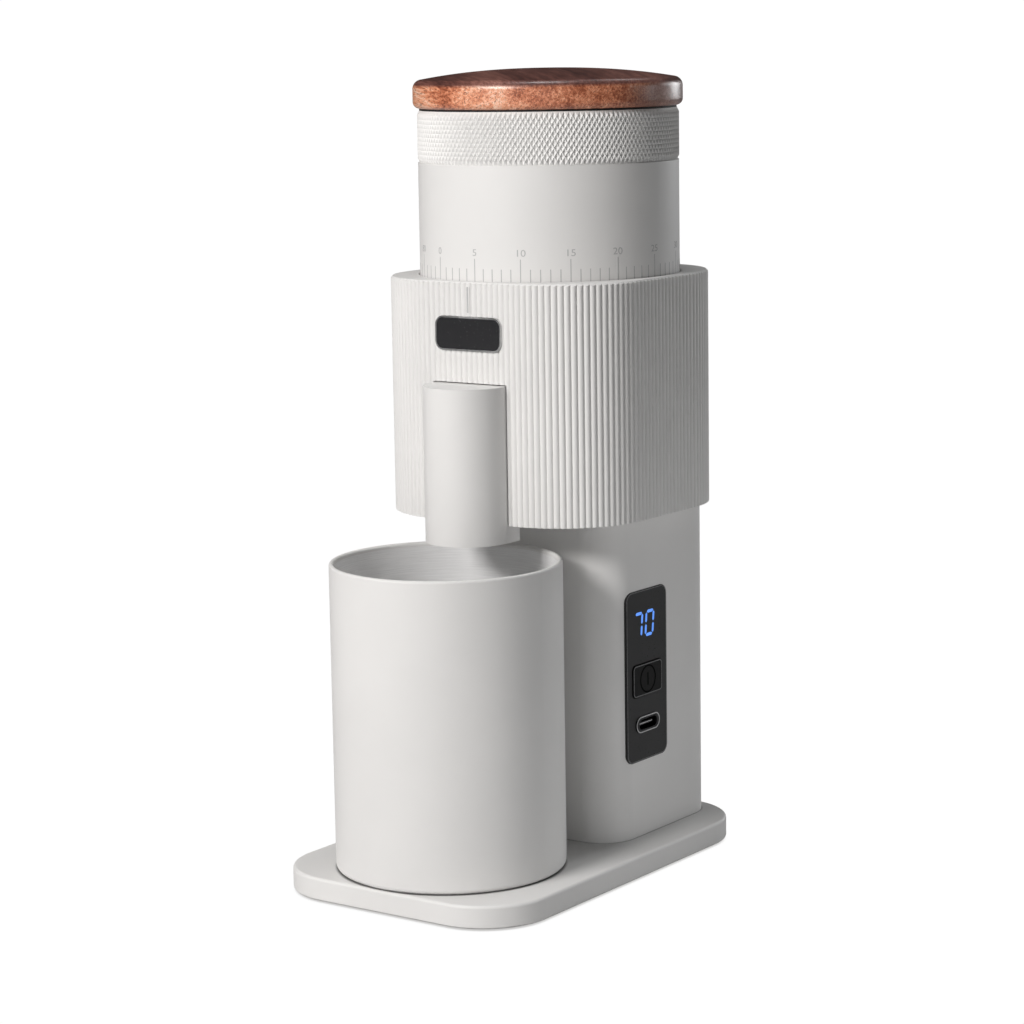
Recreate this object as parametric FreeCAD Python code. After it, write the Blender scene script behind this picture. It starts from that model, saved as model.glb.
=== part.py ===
import FreeCAD, Part
import math
import os

# Rechargeable burr coffee grinder: a flat base, a square column with a control panel,
# a ribbed drum that holds the burrs, a numbered grind dial, a wooden lid and a catch cup.
# All sizes are in millimetres. Shapes are drawn round the burr axis (x = 0, y = 0, front
# towards -Y) and moved at the end so that the origin is under the middle of the base.

V = FreeCAD.Vector
UP = V(0, 0, 1)
RIGHT = V(1, 0, 0)
touch = 1e-4

# Base plate and foot pad
base_width = 73.6
base_length = 113.5
base_thickness = 5.75
base_corner_r = 17.5
base_top_round = 0.8
base_bottom_round = 0.6
base_back_edge = 1.8
foot_stand_off = 0.5
foot_recess = 1.0
foot_margin = 7.0
foot_fit = 0.2

# Column
column_width = 53.2
column_front = 13.5
column_step = 0.15
column_corner_r = 9.5
column_wall = 2.4
column_height = 84.95
post_r = 3.1
post_sink = 0.2
post_height = 12.0
top_post_back = 20.0

# Drum shell
drum_rim = 2.0
drum_flat = 12.65
drum_wall = 2.6
drum_deck = 4.0
drum_bevel = 0.5
rib_count = 152
rib_depth = 0.42
shell_boss_r = 4.0
shell_boss_height = 11.5
shell_boss_inset = 3.36
shell_web = 8.35

# Drum floor
floor_thickness = 4.0
floor_fit = 0.1

# Grind dial, knurled grip and lid
dial_wall = 3.1
dial_sink = 2.0
dial_gap = 0.45
dial_height = 30.3
grip_proud = 0.15
grip_height = 13.1
grip_seat_wall = 1.5
grip_reveal = 1.1
seat_gap = 0.2
run_fit = 0.07
lid_overhang = 1.05
lid_side = 5.9
lid_crown = 3.85
lid_edge_round = 1.5
lid_bottom_round = 1.7
lid_spigot_drop = 4.6
seal_thickness = 0.5
seal_inset = 0.7
seal_skirt = 1.2
seal_play = 0.3
seal_drop = 5.5

# Hopper inside the dial
hopper_wall = 1.0
hopper_straight = 7.0
hopper_cone = 15.5
hopper_neck_gap = 0.3
hopper_neck = 8.5
hopper_fit = 0.1
hopper_below_grip = 0.6

# Burrs and what carries them
burr_r = 18.3
burr_top_r = 6.5
burr_height = 19.0
burr_band = 5.0
burr_band_slope = 0.25
burr_gap = 0.45
burr_flutes = 7
burr_teeth = 28
burr_flute_depth = 2.6
burr_tooth_depth = 0.9
cutter_turn = 45.0
outer_burr_wall = 5.1
outer_burr_height = 16.0
outer_burr_rim = 2.1
outer_burr_grooves = 14
outer_groove_r = 1.5
outer_groove_tilt = 5.0
carrier_wall = 4.13
carrier_step = 0.2
carrier_fit = 0.07
carrier_lip = 0.4
carrier_clear = 1.4
flange_gap = 1.8
thread_height = 8.0
guide_pin_r = 1.5
guide_slot_travel = 2.0
guide_pin_drop = 2.5
guide_slot_fit = 0.14
guide_pin_reach = 1.8

# Grinding chamber
chamber_floor = 4.0
chamber_wall = 2.6
chamber_height = 33.0
plate_edge = 0.2
leg_r = 3.3
leg_edge = 0.1
leg_front_angle = 45.0
leg_back_angle = 60.0
hub_wall = 2.2
hub_height = 10.5
lug_r = 3.5
lug_clear = 0.79
lug_count = 4
lug_first = 45.0
lug_height = 10.0
collar_lug_height = 4.0
collar_height = 8.0
collar_clear = 0.65
collar_spigot_wall = 2.43
collar_spigot = 6.0
port_width = 15.0
port_height = 6.6
port_flange = 2.6
port_gap = 0.4

# Shaft, bearings and gears
shaft_r = 4.0
shaft_fit = 0.04
bearing_r = 8.0
bearing_width = 4.6
seal_ring_width = 1.3
sweep_plate = 2.0
sweep_rise = 0.5
sweep_gap = 0.5
paddle_count = 4
paddle_width = 2.6
paddle_gap = 0.8
paddle_turn = 45.0
nut_r = 6.2
nut_sides = 6
nut_height = 4.5
gear_module = 0.7
pressure_angle = 20.0
tooth_addendum = 0.8
tooth_dedendum = 1.15
tooth_slack = 0.15
gear_point_gap = 0.015
motor_teeth = 14
wheel_teeth = 34
idler_teeth = 14
output_teeth = 36
gear_width = 5.0
output_width = 6.0
gear_gap = 0.3
gear_step = 0.8
gear_roof_gap = 0.7
gear_pin_r = 1.5
gear_pin_sink = 3.0
gear_pin_fit = 0.06

# Motor and cells
motor_r = 13.85
motor_length = 38.0
motor_offset = 3.0
motor_boss_r = 5.0
motor_boss = 2.0
motor_shaft_r = 1.5
motor_shaft_depth = 10.0
motor_end_r = 4.5
motor_end = 2.2
motor_edge_round = 1.2
terminal_spread = 7.0
terminal_width = 2.8
terminal_thickness = 0.6
terminal_length = 5.0
motor_screw_spread = 8.0
cell_r = 9.15
cell_height = 65.0
cell_spread = 10.2
cell_y = 24.0
cell_nub_r = 3.0
cell_nub = 1.2
holder_plate = 2.75
holder_lip = 8.0
holder_lip_wall = 1.2
holder_fit = 0.15
holder_rib = 1.4
holder_rib_height = 48.0
holder_half_width = 16.0
holder_front = 15.5
holder_back = 32.8

# Control panel and what is behind it
panel_width = 18.8
panel_height = 44.6
panel_rise = 19.85
panel_y = 2.63
panel_corner_r = 2.5
panel_thickness = 1.4
panel_proud = 0.2
panel_fit = 0.1
panel_ledge = 1.6
button_width = 13.5
button_height = 8.35
button_rise = 21.2
button_corner_r = 1.2
button_fit = 0.2
button_proud = 0.3
button_flange = 0.45
button_flange_thickness = 0.6
button_stem_r = 1.5
button_travel = 0.5
button_gap = 0.1
switch_size = 6.0
switch_cap_r = 1.7
switch_cap = 0.6
switch_height = 0.6
display_width = 12.6
display_height = 13.0
display_rise = 33.2
display_gap = 0.2
usb_width = 8.94
usb_height = 3.26
usb_wall = 0.3
usb_rise = 9.55
usb_fit = 0.25
usb_lip = 1.0
usb_lip_thickness = 0.3
usb_tongue_width = 6.7
usb_tongue_thickness = 0.7
usb_tongue_back = 0.6
board_thickness = 1.6
board_height = 48.0
board_stand_off = 3.1
rail_width = 2.0
rail_margin = 1.0

# Spout, badge and pointer
spout_r = 10.95
spout_ahead = 1.15
spout_wall = 1.7
spout_roof = 2.0
spout_below_drum = 4.3
spout_slot_height = 35.0
spout_slot_reach = 11.5
spout_gap = 0.25
spout_roof_gap = 0.3
badge_width = 20.0
badge_height = 8.5
badge_corner_r = 2.3
badge_below_top = 12.8
badge_depth = 1.6
badge_proud = 0.4
badge_rim = 0.4
badge_fit = 0.05
pointer_width = 0.9
pointer_length = 6.4
pointer_below_top = 1.2
pointer_depth = 0.75
pointer_proud = 0.05

# Catch cup
cup_r = 28.9
cup_ahead = 10.1
cup_height = 77.15
cup_wall = 1.3
cup_floor = 1.6
cup_foot_round = 1.3
cup_inner_round = 2.4
cup_lip_round = 0.6

# Screws
screw_r = 1.5
screw_head_r = 2.8
screw_head = 1.8
screw_head_round = 0.6
screw_hole_fit = 0.15
screw_bite = 8.0
short_bite = 4.0
small_screw_r = 1.25
small_head_r = 2.3

# Radii that follow from the inner burr outwards: outer burr, carrier, chamber, dial, drum and lid
outer_burr_r = burr_r + outer_burr_wall
outer_burr_mouth_r = outer_burr_r - outer_burr_rim
carrier_bore_r = outer_burr_mouth_r + carrier_step
carrier_r = outer_burr_r + carrier_wall
chamber_bore_r = carrier_r + carrier_fit
chamber_r = chamber_bore_r + chamber_wall
chamber_plate_r = chamber_r + plate_edge
leg_circle_r = chamber_plate_r - leg_r - leg_edge
dial_bore_r = chamber_bore_r + collar_spigot_wall + run_fit
dial_r = dial_bore_r + dial_wall
grip_r = dial_r + grip_proud
grip_seat_r = dial_bore_r + grip_seat_wall
lid_r = dial_r + lid_overhang
hopper_mouth_r = dial_bore_r - hopper_fit - hopper_wall
hopper_neck_r = carrier_bore_r - hopper_neck_gap - hopper_wall
lid_spigot_r = hopper_mouth_r - seal_play - seal_skirt
seal_flange_r = grip_r - seal_inset
drum_half = dial_r + dial_gap + drum_rim
drum_corner_r = drum_half - drum_flat
cavity_half = drum_half - drum_wall
cavity_corner_r = drum_corner_r - drum_wall
corner_reach = drum_flat * math.sqrt(2) + cavity_corner_r
collar_r = cavity_half - collar_clear
lug_circle_r = corner_reach - lug_r - lug_clear
boss_at = (corner_reach - shell_boss_inset) / math.sqrt(2)

# Heights and places that follow from the sizes above
column_back = drum_half + column_step
axis_from_back = column_back + base_back_edge
spout_y = drum_half + spout_ahead
cup_y = spout_y + cup_ahead
base_bottom = foot_stand_off
base_top = base_bottom + base_thickness
base_front = base_length - axis_from_back
pad_top = base_bottom + foot_recess
drum_bottom = base_top + column_height
floor_top = drum_bottom + floor_thickness
column_half = column_width / 2
column_in = column_half - column_wall
column_in_front = column_front - column_wall
column_in_back = column_back - column_wall
post_x = column_in - post_r + post_sink
post_front = column_in_front - post_r + post_sink
post_back = column_in_back - post_r + post_sink
wheel_bottom = floor_top + gear_gap
wheel_top = wheel_bottom + gear_width
output_bottom = wheel_top + gear_step
output_top = output_bottom + output_width
chamber_bottom = output_top + gear_roof_gap
chamber_top = chamber_bottom + chamber_floor
hub_top = chamber_bottom + hub_height
sweep_bottom = chamber_top + sweep_gap
sweep_top = hub_top + sweep_rise + sweep_plate
burr_bottom = sweep_top
burr_top = burr_bottom + burr_height
chamber_rim = chamber_bottom + chamber_height
collar_top = chamber_rim + collar_height
carrier_bottom = chamber_top + port_height + carrier_clear
outer_burr_bottom = carrier_bottom + carrier_lip
outer_burr_top = outer_burr_bottom + outer_burr_height
carrier_flange = collar_top + collar_spigot + flange_gap
carrier_top = carrier_flange + thread_height
dial_bottom = collar_top + seat_gap
drum_top = dial_bottom + dial_sink
dial_top = dial_bottom + dial_height
grip_top = dial_top + grip_height
lid_bottom = grip_top + seal_thickness
hopper_top = grip_top - hopper_below_grip
cone_top = hopper_top - hopper_straight
cone_bottom = cone_top - hopper_cone
neck_bottom = cone_bottom - hopper_neck
panel_bottom = base_top + panel_rise
panel_top = panel_bottom + panel_height
panel_left = panel_y - panel_width / 2
panel_right = panel_y + panel_width / 2
panel_face = column_half + panel_proud
panel_back = panel_face - panel_thickness
button_z = panel_bottom + button_rise
usb_z = panel_bottom + usb_rise
display_z = panel_bottom + display_rise
board_front = column_in - board_stand_off
board_back = board_front - board_thickness
board_z = panel_bottom + panel_height / 2
spout_bottom = drum_bottom - spout_below_drum
slot_top = drum_bottom + spout_slot_height
spout_top = slot_top - spout_roof_gap
slot_half = spout_r + spout_gap
port_face = chamber_r + port_gap
badge_z = drum_top - badge_below_top
leg_places = [
    (side * leg_circle_r * math.cos(math.radians(angle)),
     turn * leg_circle_r * math.sin(math.radians(angle)))
    for turn, angle in ((-1, leg_front_angle), (1, leg_back_angle))
    for side in (-1, 1)
]
boss_places = [(sx * boss_at, sy * boss_at) for sx in (-1, 1) for sy in (-1, 1)]
post_places = [(sx * post_x, y) for sx in (-1, 1) for y in (-post_front, post_back)]
top_post_places = [(sx * post_x, y) for sx in (-1, 1) for y in (-post_front, top_post_back)]
lug_angles = [lug_first + i * 360.0 / lug_count for i in range(lug_count)]

# Gear centres: the motor sits a little behind the burr axis, and the idler pin takes both meshes
motor_mesh = gear_module * (motor_teeth + wheel_teeth) / 2
output_mesh = gear_module * (idler_teeth + output_teeth) / 2
idler_y = (output_mesh ** 2 - motor_mesh ** 2 + motor_offset ** 2) / (2 * motor_offset)
idler_x = -math.sqrt(output_mesh ** 2 - idler_y ** 2)


def cyl(r, z0, z1, x=0.0, y=0.0):
    return Part.makeCylinder(r, z1 - z0, V(x, y, z0), UP)


def tube(r_out, r_in, z0, z1, x=0.0, y=0.0):
    return cyl(r_out, z0, z1, x, y).cut(cyl(r_in, z0, z1, x, y))


def box(x0, x1, y0, y1, z0, z1):
    return Part.makeBox(x1 - x0, y1 - y0, z1 - z0, V(x0, y0, z0))


def wire_face(edges):
    return Part.Face(Part.Wire(edges))


def rounded_face(x0, x1, y0, y1, r, z):
    # flat rounded rectangle made of four lines and four quarter arcs
    corners = ((x1 - r, y1 - r, 0), (x0 + r, y1 - r, 90), (x0 + r, y0 + r, 180), (x1 - r, y0 + r, 270))
    arcs = []
    for cx, cy, turn in corners:
        points = []
        for step in (0, 45, 90):
            a = math.radians(turn + step)
            points.append(V(cx + r * math.cos(a), cy + r * math.sin(a), z))
        arcs.append(points)
    edges = []
    for i, points in enumerate(arcs):
        edges.append(Part.Arc(points[0], points[1], points[2]).toShape())
        after = arcs[(i + 1) % len(arcs)][0]
        if points[2].distanceToPoint(after) > touch:
            edges.append(Part.LineSegment(points[2], after).toShape())
    return wire_face(edges)


def rounded_block(x0, x1, y0, y1, r, z0, z1):
    return rounded_face(x0, x1, y0, y1, r, z0).extrude(V(0, 0, z1 - z0))


def side_block(y0, y1, z0, z1, r, x0, x1):
    # rounded rectangle that faces +X, from x0 out to x1
    flat = rounded_face(y0, y1, z0, z1, r, 0)
    flat.transformShape(FreeCAD.Matrix(0, 0, 1, x0, 1, 0, 0, 0, 0, 1, 0, 0, 0, 0, 0, 1))
    return flat.extrude(V(x1 - x0, 0, 0))


def front_block(x0, x1, z0, z1, r, y_back, y_front):
    # rounded rectangle that faces the front, from y_back out to y_front
    flat = rounded_face(x0, x1, z0, z1, r, 0)
    flat.transformShape(FreeCAD.Matrix(1, 0, 0, 0, 0, 0, -1, y_back, 0, 1, 0, 0, 0, 0, 0, 1))
    return flat.extrude(V(0, y_front - y_back, 0))


def turned(points, y=0.0):
    # solid of revolution about a vertical axis, from (radius, height) pairs
    spots = [V(r, 0, z) for r, z in points]
    face = Part.Face(Part.makePolygon(spots + [spots[0]]))
    solid = face.revolve(V(0, 0, 0), UP, 360)
    return solid.translated(V(0, y, 0))


def joined(shapes):
    whole = shapes[0].fuse(shapes[1:]) if len(shapes) > 1 else shapes[0]
    return whole.removeSplitter()


def edges_at(shape, z):
    return [e for e in shape.Edges if abs(e.BoundBox.ZMin - z) < touch and abs(e.BoundBox.ZMax - z) < touch]


def screw(x, y, head_z, way, r, head_r, length):
    # pan screw whose shank runs from the head's seat at head_z upwards (way 1) or downwards (way -1)
    shank = Part.makeCylinder(r, length, V(x, y, head_z), V(0, 0, way))
    head = Part.makeCylinder(head_r, screw_head, V(x, y, head_z), V(0, 0, -way))
    rim = [e for e in edges_at(head, head_z - way * screw_head) if e.Closed]
    head = head.makeFillet(screw_head_round, rim[:1])
    return joined([shank, head])


def involute(angle):
    return math.tan(angle) - angle


def gear(teeth, z0, z1, x, y, first_tooth):
    # spur gear with involute flanks, one tooth centred at first_tooth degrees
    pitch_r = gear_module * teeth / 2
    base_r = pitch_r * math.cos(math.radians(pressure_angle))
    tip_r = pitch_r + tooth_addendum * gear_module
    root_r = pitch_r - tooth_dedendum * gear_module
    half_pitch = (math.pi * gear_module / 2 - tooth_slack) / (2 * pitch_r)

    def half_angle(r):
        slope = math.acos(min(1.0, base_r / r))
        return half_pitch + involute(math.radians(pressure_angle)) - involute(slope)

    flank = [root_r, max(base_r, root_r), pitch_r, tip_r]
    spots = []
    for i in range(teeth):
        middle = math.radians(first_tooth + i * 360.0 / teeth)
        left = [(r, middle - half_angle(max(r, base_r))) for r in flank]
        right = [(r, middle + half_angle(max(r, base_r))) for r in reversed(flank)]
        for r, a in left + right:
            spot = V(x + r * math.cos(a), y + r * math.sin(a), z0)
            if not spots or spot.distanceToPoint(spots[-1]) > gear_point_gap:
                spots.append(spot)
    return Part.Face(Part.makePolygon(spots + [spots[0]])).extrude(V(0, 0, z1 - z0))


def outline_spot(s, inset):
    # point at arc length s along the drum's rounded square, counted from the middle of the front
    flat = drum_half - drum_corner_r
    quarter = 2 * flat + math.pi / 2 * drum_corner_r
    side = int(s // quarter) % 4
    along = s - (s // quarter) * quarter
    if along <= flat:
        spot = V(along, -drum_half + inset, 0)
    elif along < quarter - flat:
        a = (along - flat) / drum_corner_r
        r = drum_corner_r - inset
        spot = V(flat + r * math.sin(a), -flat - r * math.cos(a), 0)
    else:
        spot = V(drum_half - inset, along - quarter, 0)
    turn = FreeCAD.Rotation(UP, 90 * side)
    return turn.multVec(spot)


def ribbed_block(z0, z1):
    flat = drum_half - drum_corner_r
    step = (8 * flat + 2 * math.pi * drum_corner_r) / rib_count
    lift = V(0, 0, z0)
    edges = []
    for i in range(rib_count):
        low = outline_spot((i - 0.5) * step if i else rib_count * step - step / 2, rib_depth) + lift
        crest = outline_spot(i * step, 0.0) + lift
        high = outline_spot((i + 0.5) * step, rib_depth) + lift
        edges.append(Part.Arc(low, crest, high).toShape())
    return wire_face(edges).extrude(V(0, 0, z1 - z0))


def square_ring(half, r, z0, z1):
    return rounded_block(-half, half, -half, half, r, z0, z1)


def spout_face(r, back, z):
    # U outline: a half circle towards the front with straight sides running back
    left, right, nose = V(-r, -spout_y, z), V(r, -spout_y, z), V(0, -spout_y - r, z)
    back_left, back_right = V(-r, -back, z), V(r, -back, z)
    return wire_face([
        Part.Arc(left, nose, right).toShape(),
        Part.LineSegment(right, back_right).toShape(),
        Part.LineSegment(back_right, back_left).toShape(),
        Part.LineSegment(back_left, left).toShape(),
    ])


nodes = {}

# Base plate: rounded slab with a recess for the foot pad and counterbored column screws
base = rounded_block(-base_width / 2, base_width / 2, -base_front, axis_from_back, base_corner_r,
                     base_bottom, base_top)
base = base.makeFillet(base_top_round, edges_at(base, base_top))
base = base.makeFillet(base_bottom_round, edges_at(base, base_bottom))
pad_half = base_width / 2 - foot_margin
pad_front = base_front - foot_margin
pad_back = axis_from_back - foot_margin
pad_r = base_corner_r - foot_margin
base = base.cut(rounded_block(-pad_half, pad_half, -pad_front, pad_back, pad_r, base_bottom, pad_top))
for x, y in post_places:
    base = base.cut(cyl(screw_r + screw_hole_fit, pad_top, base_top, x, y))
    base = base.cut(cyl(screw_head_r + screw_hole_fit, pad_top, pad_top + screw_head, x, y))
nodes["base_plate"] = base
nodes["foot_pad"] = rounded_block(-pad_half + foot_fit, pad_half - foot_fit, -pad_front + foot_fit,
                                  pad_back - foot_fit, pad_r - foot_fit, 0.0, pad_top)
column_screw_length = base_top - pad_top - screw_head + screw_bite
nodes["column_screws"] = Part.makeCompound([
    screw(x, y, pad_top + screw_head, 1, screw_r, screw_head_r, column_screw_length) for x, y in post_places])

# Column: rounded square tube with screw posts, board rails and a stepped window for the panel
column = rounded_block(-column_half, column_half, -column_front, column_back, column_corner_r,
                       base_top, drum_bottom)
column = column.cut(rounded_block(-column_in, column_in, -column_in_front, column_in_back,
                                  column_corner_r - column_wall, base_top, drum_bottom))
posts = []
for x, y in post_places:
    posts.append(cyl(post_r, base_top, base_top + post_height, x, y))
for x, y in top_post_places:
    posts.append(cyl(post_r, drum_bottom - post_height, drum_bottom, x, y))
rails = []
for y in (panel_left - rail_margin, panel_right + rail_margin):
    rails.append(box(board_front, column_in + post_sink, y - rail_width / 2, y + rail_width / 2,
                     board_z - board_height / 2, board_z + board_height / 2))
column = joined([column] + posts + rails)
column = column.cut(side_block(panel_left - panel_fit, panel_right + panel_fit, panel_bottom - panel_fit,
                               panel_top + panel_fit, panel_corner_r + panel_fit, panel_back, panel_face))
column = column.cut(side_block(panel_left + panel_ledge, panel_right - panel_ledge,
                               panel_bottom + panel_ledge, panel_top - panel_ledge,
                               panel_corner_r - panel_ledge, column_in - post_sink, panel_face))
for x, y in post_places:
    column = column.cut(cyl(screw_r, base_top, base_top + screw_bite, x, y))
for x, y in top_post_places:
    column = column.cut(cyl(screw_r, drum_bottom - screw_bite, drum_bottom, x, y))
nodes["column_housing"] = column

# Control panel with its button and charging port openings
panel = side_block(panel_left, panel_right, panel_bottom, panel_top, panel_corner_r, panel_back, panel_face)
button_half_w = button_width / 2
button_half_h = button_height / 2
panel = panel.cut(side_block(panel_y - button_half_w - button_fit, panel_y + button_half_w + button_fit,
                             button_z - button_half_h - button_fit, button_z + button_half_h + button_fit,
                             button_corner_r + button_fit, panel_back, panel_face))
usb_r = usb_height / 2
hole_r = usb_r + usb_fit
panel = panel.cut(side_block(panel_y - usb_width / 2 - usb_fit, panel_y + usb_width / 2 + usb_fit,
                             usb_z - hole_r, usb_z + hole_r, hole_r, panel_back, panel_face))
nodes["control_panel"] = panel

button_face = panel_face + button_proud
button_back = panel_back - button_gap - button_flange_thickness
cap = side_block(panel_y - button_half_w, panel_y + button_half_w, button_z - button_half_h,
                 button_z + button_half_h, button_corner_r, panel_back - button_gap, button_face)
flange = side_block(panel_y - button_half_w - button_flange, panel_y + button_half_w + button_flange,
                    button_z - button_half_h - button_flange, button_z + button_half_h + button_flange,
                    button_corner_r, button_back, panel_back - button_gap)
switch_top = board_front + switch_height + switch_cap
stem_end = switch_top + button_travel + button_gap
stem = Part.makeCylinder(button_stem_r, button_back - stem_end, V(stem_end, panel_y, button_z), RIGHT)
nodes["power_button"] = joined([cap, flange, stem])
switch = box(board_front, board_front + switch_height, panel_y - switch_size / 2, panel_y + switch_size / 2,
             button_z - switch_size / 2, button_z + switch_size / 2)
switch_front = V(board_front + switch_height, panel_y, button_z)
plunger = Part.makeCylinder(switch_cap_r, switch_cap, switch_front, RIGHT)
nodes["button_switch"] = joined([switch, plunger])
nodes["display_module"] = box(board_front, panel_back - display_gap, panel_y - display_width / 2,
                              panel_y + display_width / 2, display_z - display_height / 2,
                              display_z + display_height / 2)
usb_lip_face = panel_face + usb_lip_thickness
usb_body = side_block(panel_y - usb_width / 2, panel_y + usb_width / 2, usb_z - usb_r, usb_z + usb_r,
                      usb_r, board_front, panel_face)
lip_r = usb_r + usb_lip / 2
usb_ring = side_block(panel_y - usb_width / 2 - usb_lip, panel_y + usb_width / 2 + usb_lip, usb_z - lip_r,
                      usb_z + lip_r, lip_r, panel_face, usb_lip_face)
bore_r = usb_r - usb_wall
usb_bore = side_block(panel_y - usb_width / 2 + usb_wall, panel_y + usb_width / 2 - usb_wall, usb_z - bore_r,
                      usb_z + bore_r, bore_r, board_front + usb_wall, usb_lip_face)
nodes["usb_c_shell"] = joined([usb_body, usb_ring]).cut(usb_bore)
nodes["usb_c_tongue"] = box(board_front + usb_wall, panel_face - usb_tongue_back,
                            panel_y - usb_tongue_width / 2, panel_y + usb_tongue_width / 2,
                            usb_z - usb_tongue_thickness / 2, usb_z + usb_tongue_thickness / 2)
nodes["control_board"] = box(board_back, board_front, panel_left - rail_margin - rail_width / 2,
                             panel_right + rail_margin + rail_width / 2, board_z - board_height / 2,
                             board_z + board_height / 2)

# Cells in their holder, which stands on the base
cells = []
lips = []
cell_bottom = base_top + holder_plate
for side in (-1, 1):
    can = cyl(cell_r, cell_bottom, cell_bottom + cell_height - cell_nub, side * cell_spread, cell_y)
    nub = cyl(cell_nub_r, cell_bottom + cell_height - cell_nub, cell_bottom + cell_height,
              side * cell_spread, cell_y)
    cells.append(joined([can, nub]))
    lips.append(cyl(cell_r + holder_fit + holder_lip_wall, cell_bottom, cell_bottom + holder_lip,
                    side * cell_spread, cell_y))
nodes["battery_cells"] = Part.makeCompound(cells)
plate = box(-holder_half_width, holder_half_width, holder_front, holder_back, base_top, cell_bottom)
keep = box(-holder_half_width, holder_half_width, holder_front, holder_back, base_top,
           cell_bottom + cell_height)
middle = box(-holder_rib / 2, holder_rib / 2, cell_y - holder_lip_wall, holder_back, base_top,
             base_top + holder_rib_height)
holder = joined([plate, middle] + [lip.common(keep) for lip in lips])
for side in (-1, 1):
    holder = holder.cut(cyl(cell_r + holder_fit, cell_bottom, drum_bottom, side * cell_spread, cell_y))
holder = holder.cut(cyl(motor_r + holder_fit, base_top, drum_bottom, 0.0, motor_offset))
nodes["battery_holder"] = holder

# Motor hung under the drum floor, with its shaft and pinion
motor_bottom = drum_bottom - motor_length
can = cyl(motor_r, motor_bottom, drum_bottom, 0.0, motor_offset)
can = can.makeFillet(motor_edge_round, edges_at(can, motor_bottom))
end = cyl(motor_end_r, motor_bottom - motor_end, motor_bottom, 0.0, motor_offset)
boss = cyl(motor_boss_r, drum_bottom, drum_bottom + motor_boss, 0.0, motor_offset)
tabs = []
for side in (-1, 1):
    tabs.append(box(side * terminal_spread - terminal_width / 2, side * terminal_spread + terminal_width / 2,
                    motor_offset - terminal_thickness / 2, motor_offset + terminal_thickness / 2,
                    motor_bottom - terminal_length, motor_bottom + motor_edge_round))
motor = joined([can, end, boss] + tabs)
motor = motor.cut(cyl(motor_shaft_r + shaft_fit, drum_bottom - motor_shaft_depth, drum_bottom + motor_boss,
                      0.0, motor_offset))
for side in (-1, 1):
    motor = motor.cut(cyl(small_screw_r, drum_bottom - short_bite, drum_bottom,
                          side * motor_screw_spread, motor_offset))
nodes["motor"] = motor
nodes["motor_shaft"] = cyl(motor_shaft_r, drum_bottom - motor_shaft_depth + seat_gap, wheel_top,
                           0.0, motor_offset)
to_idler = math.degrees(math.atan2(idler_y - motor_offset, idler_x))
pinion = gear(motor_teeth, wheel_bottom, wheel_top, 0.0, motor_offset, to_idler + 180.0 / motor_teeth)
nodes["motor_pinion"] = pinion.cut(cyl(motor_shaft_r, wheel_bottom, wheel_top, 0.0, motor_offset))
floor_screw_seat = floor_top - screw_head
nodes["motor_screws"] = Part.makeCompound([
    screw(side * motor_screw_spread, motor_offset, floor_screw_seat, -1, small_screw_r, small_head_r,
          floor_screw_seat - drum_bottom + short_bite) for side in (-1, 1)])

# Idler: a wheel and a smaller pinion in one piece, turning on a fixed pin
wheel = gear(wheel_teeth, wheel_bottom, wheel_top, idler_x, idler_y, to_idler + 180.0)
to_axis = math.degrees(math.atan2(-idler_y, -idler_x))
small = gear(idler_teeth, wheel_top, output_top, idler_x, idler_y, to_axis + 180.0 / idler_teeth)
idler = joined([wheel, small])
nodes["idler_gear"] = idler.cut(cyl(gear_pin_r + gear_pin_fit, wheel_bottom, output_top, idler_x, idler_y))
pin_bottom = floor_top - gear_pin_sink
pin_top = chamber_bottom
nodes["idler_pin"] = cyl(gear_pin_r, pin_bottom, pin_top, idler_x, idler_y)

# Output gear, drive shaft and bearings
output = gear(output_teeth, output_bottom, output_top, 0.0, 0.0, to_axis + 180.0)
nodes["output_gear"] = output.cut(cyl(shaft_r, output_bottom, output_top))
shaft_top = burr_top + nut_height
nodes["drive_shaft"] = cyl(shaft_r, output_bottom, shaft_top)
lower_bearing_top = chamber_bottom + bearing_width
upper_bearing_top = lower_bearing_top + bearing_width
nodes["lower_bearing"] = tube(bearing_r, shaft_r + shaft_fit, chamber_bottom, lower_bearing_top)
nodes["upper_bearing"] = tube(bearing_r, shaft_r + shaft_fit, lower_bearing_top, upper_bearing_top)
seal_ring_top = upper_bearing_top + seal_ring_width
nodes["shaft_seal"] = tube(bearing_r, shaft_r + shaft_fit, upper_bearing_top, seal_ring_top)

# Drum floor: carries the motor, the gears, the chamber legs and the shell
floor = square_ring(cavity_half - floor_fit, cavity_corner_r - floor_fit, drum_bottom, floor_top)
notch_back = port_face - spout_gap
floor = floor.cut(box(-slot_half, slot_half, -drum_half, -notch_back, drum_bottom, floor_top))
floor = floor.cut(cyl(motor_boss_r, drum_bottom, floor_top, 0.0, motor_offset))
floor = floor.cut(cyl(gear_pin_r, pin_bottom, floor_top, idler_x, idler_y))
hole = screw_r + screw_hole_fit
head_hole = screw_head_r + screw_hole_fit
for x, y in leg_places + boss_places:
    floor = floor.cut(cyl(hole, drum_bottom, floor_top, x, y))
    floor = floor.cut(cyl(head_hole, drum_bottom, drum_bottom + screw_head, x, y))
for x, y in top_post_places:
    floor = floor.cut(cyl(hole, drum_bottom, floor_top, x, y))
    floor = floor.cut(cyl(head_hole, floor_screw_seat, floor_top, x, y))
for side in (-1, 1):
    floor = floor.cut(cyl(small_screw_r + screw_hole_fit, drum_bottom, floor_top,
                          side * motor_screw_spread, motor_offset))
    floor = floor.cut(cyl(small_head_r + screw_hole_fit, floor_screw_seat, floor_top,
                          side * motor_screw_spread, motor_offset))
nodes["drum_floor"] = floor
up_seat = drum_bottom + screw_head
up_length = floor_top - up_seat + screw_bite
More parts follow.
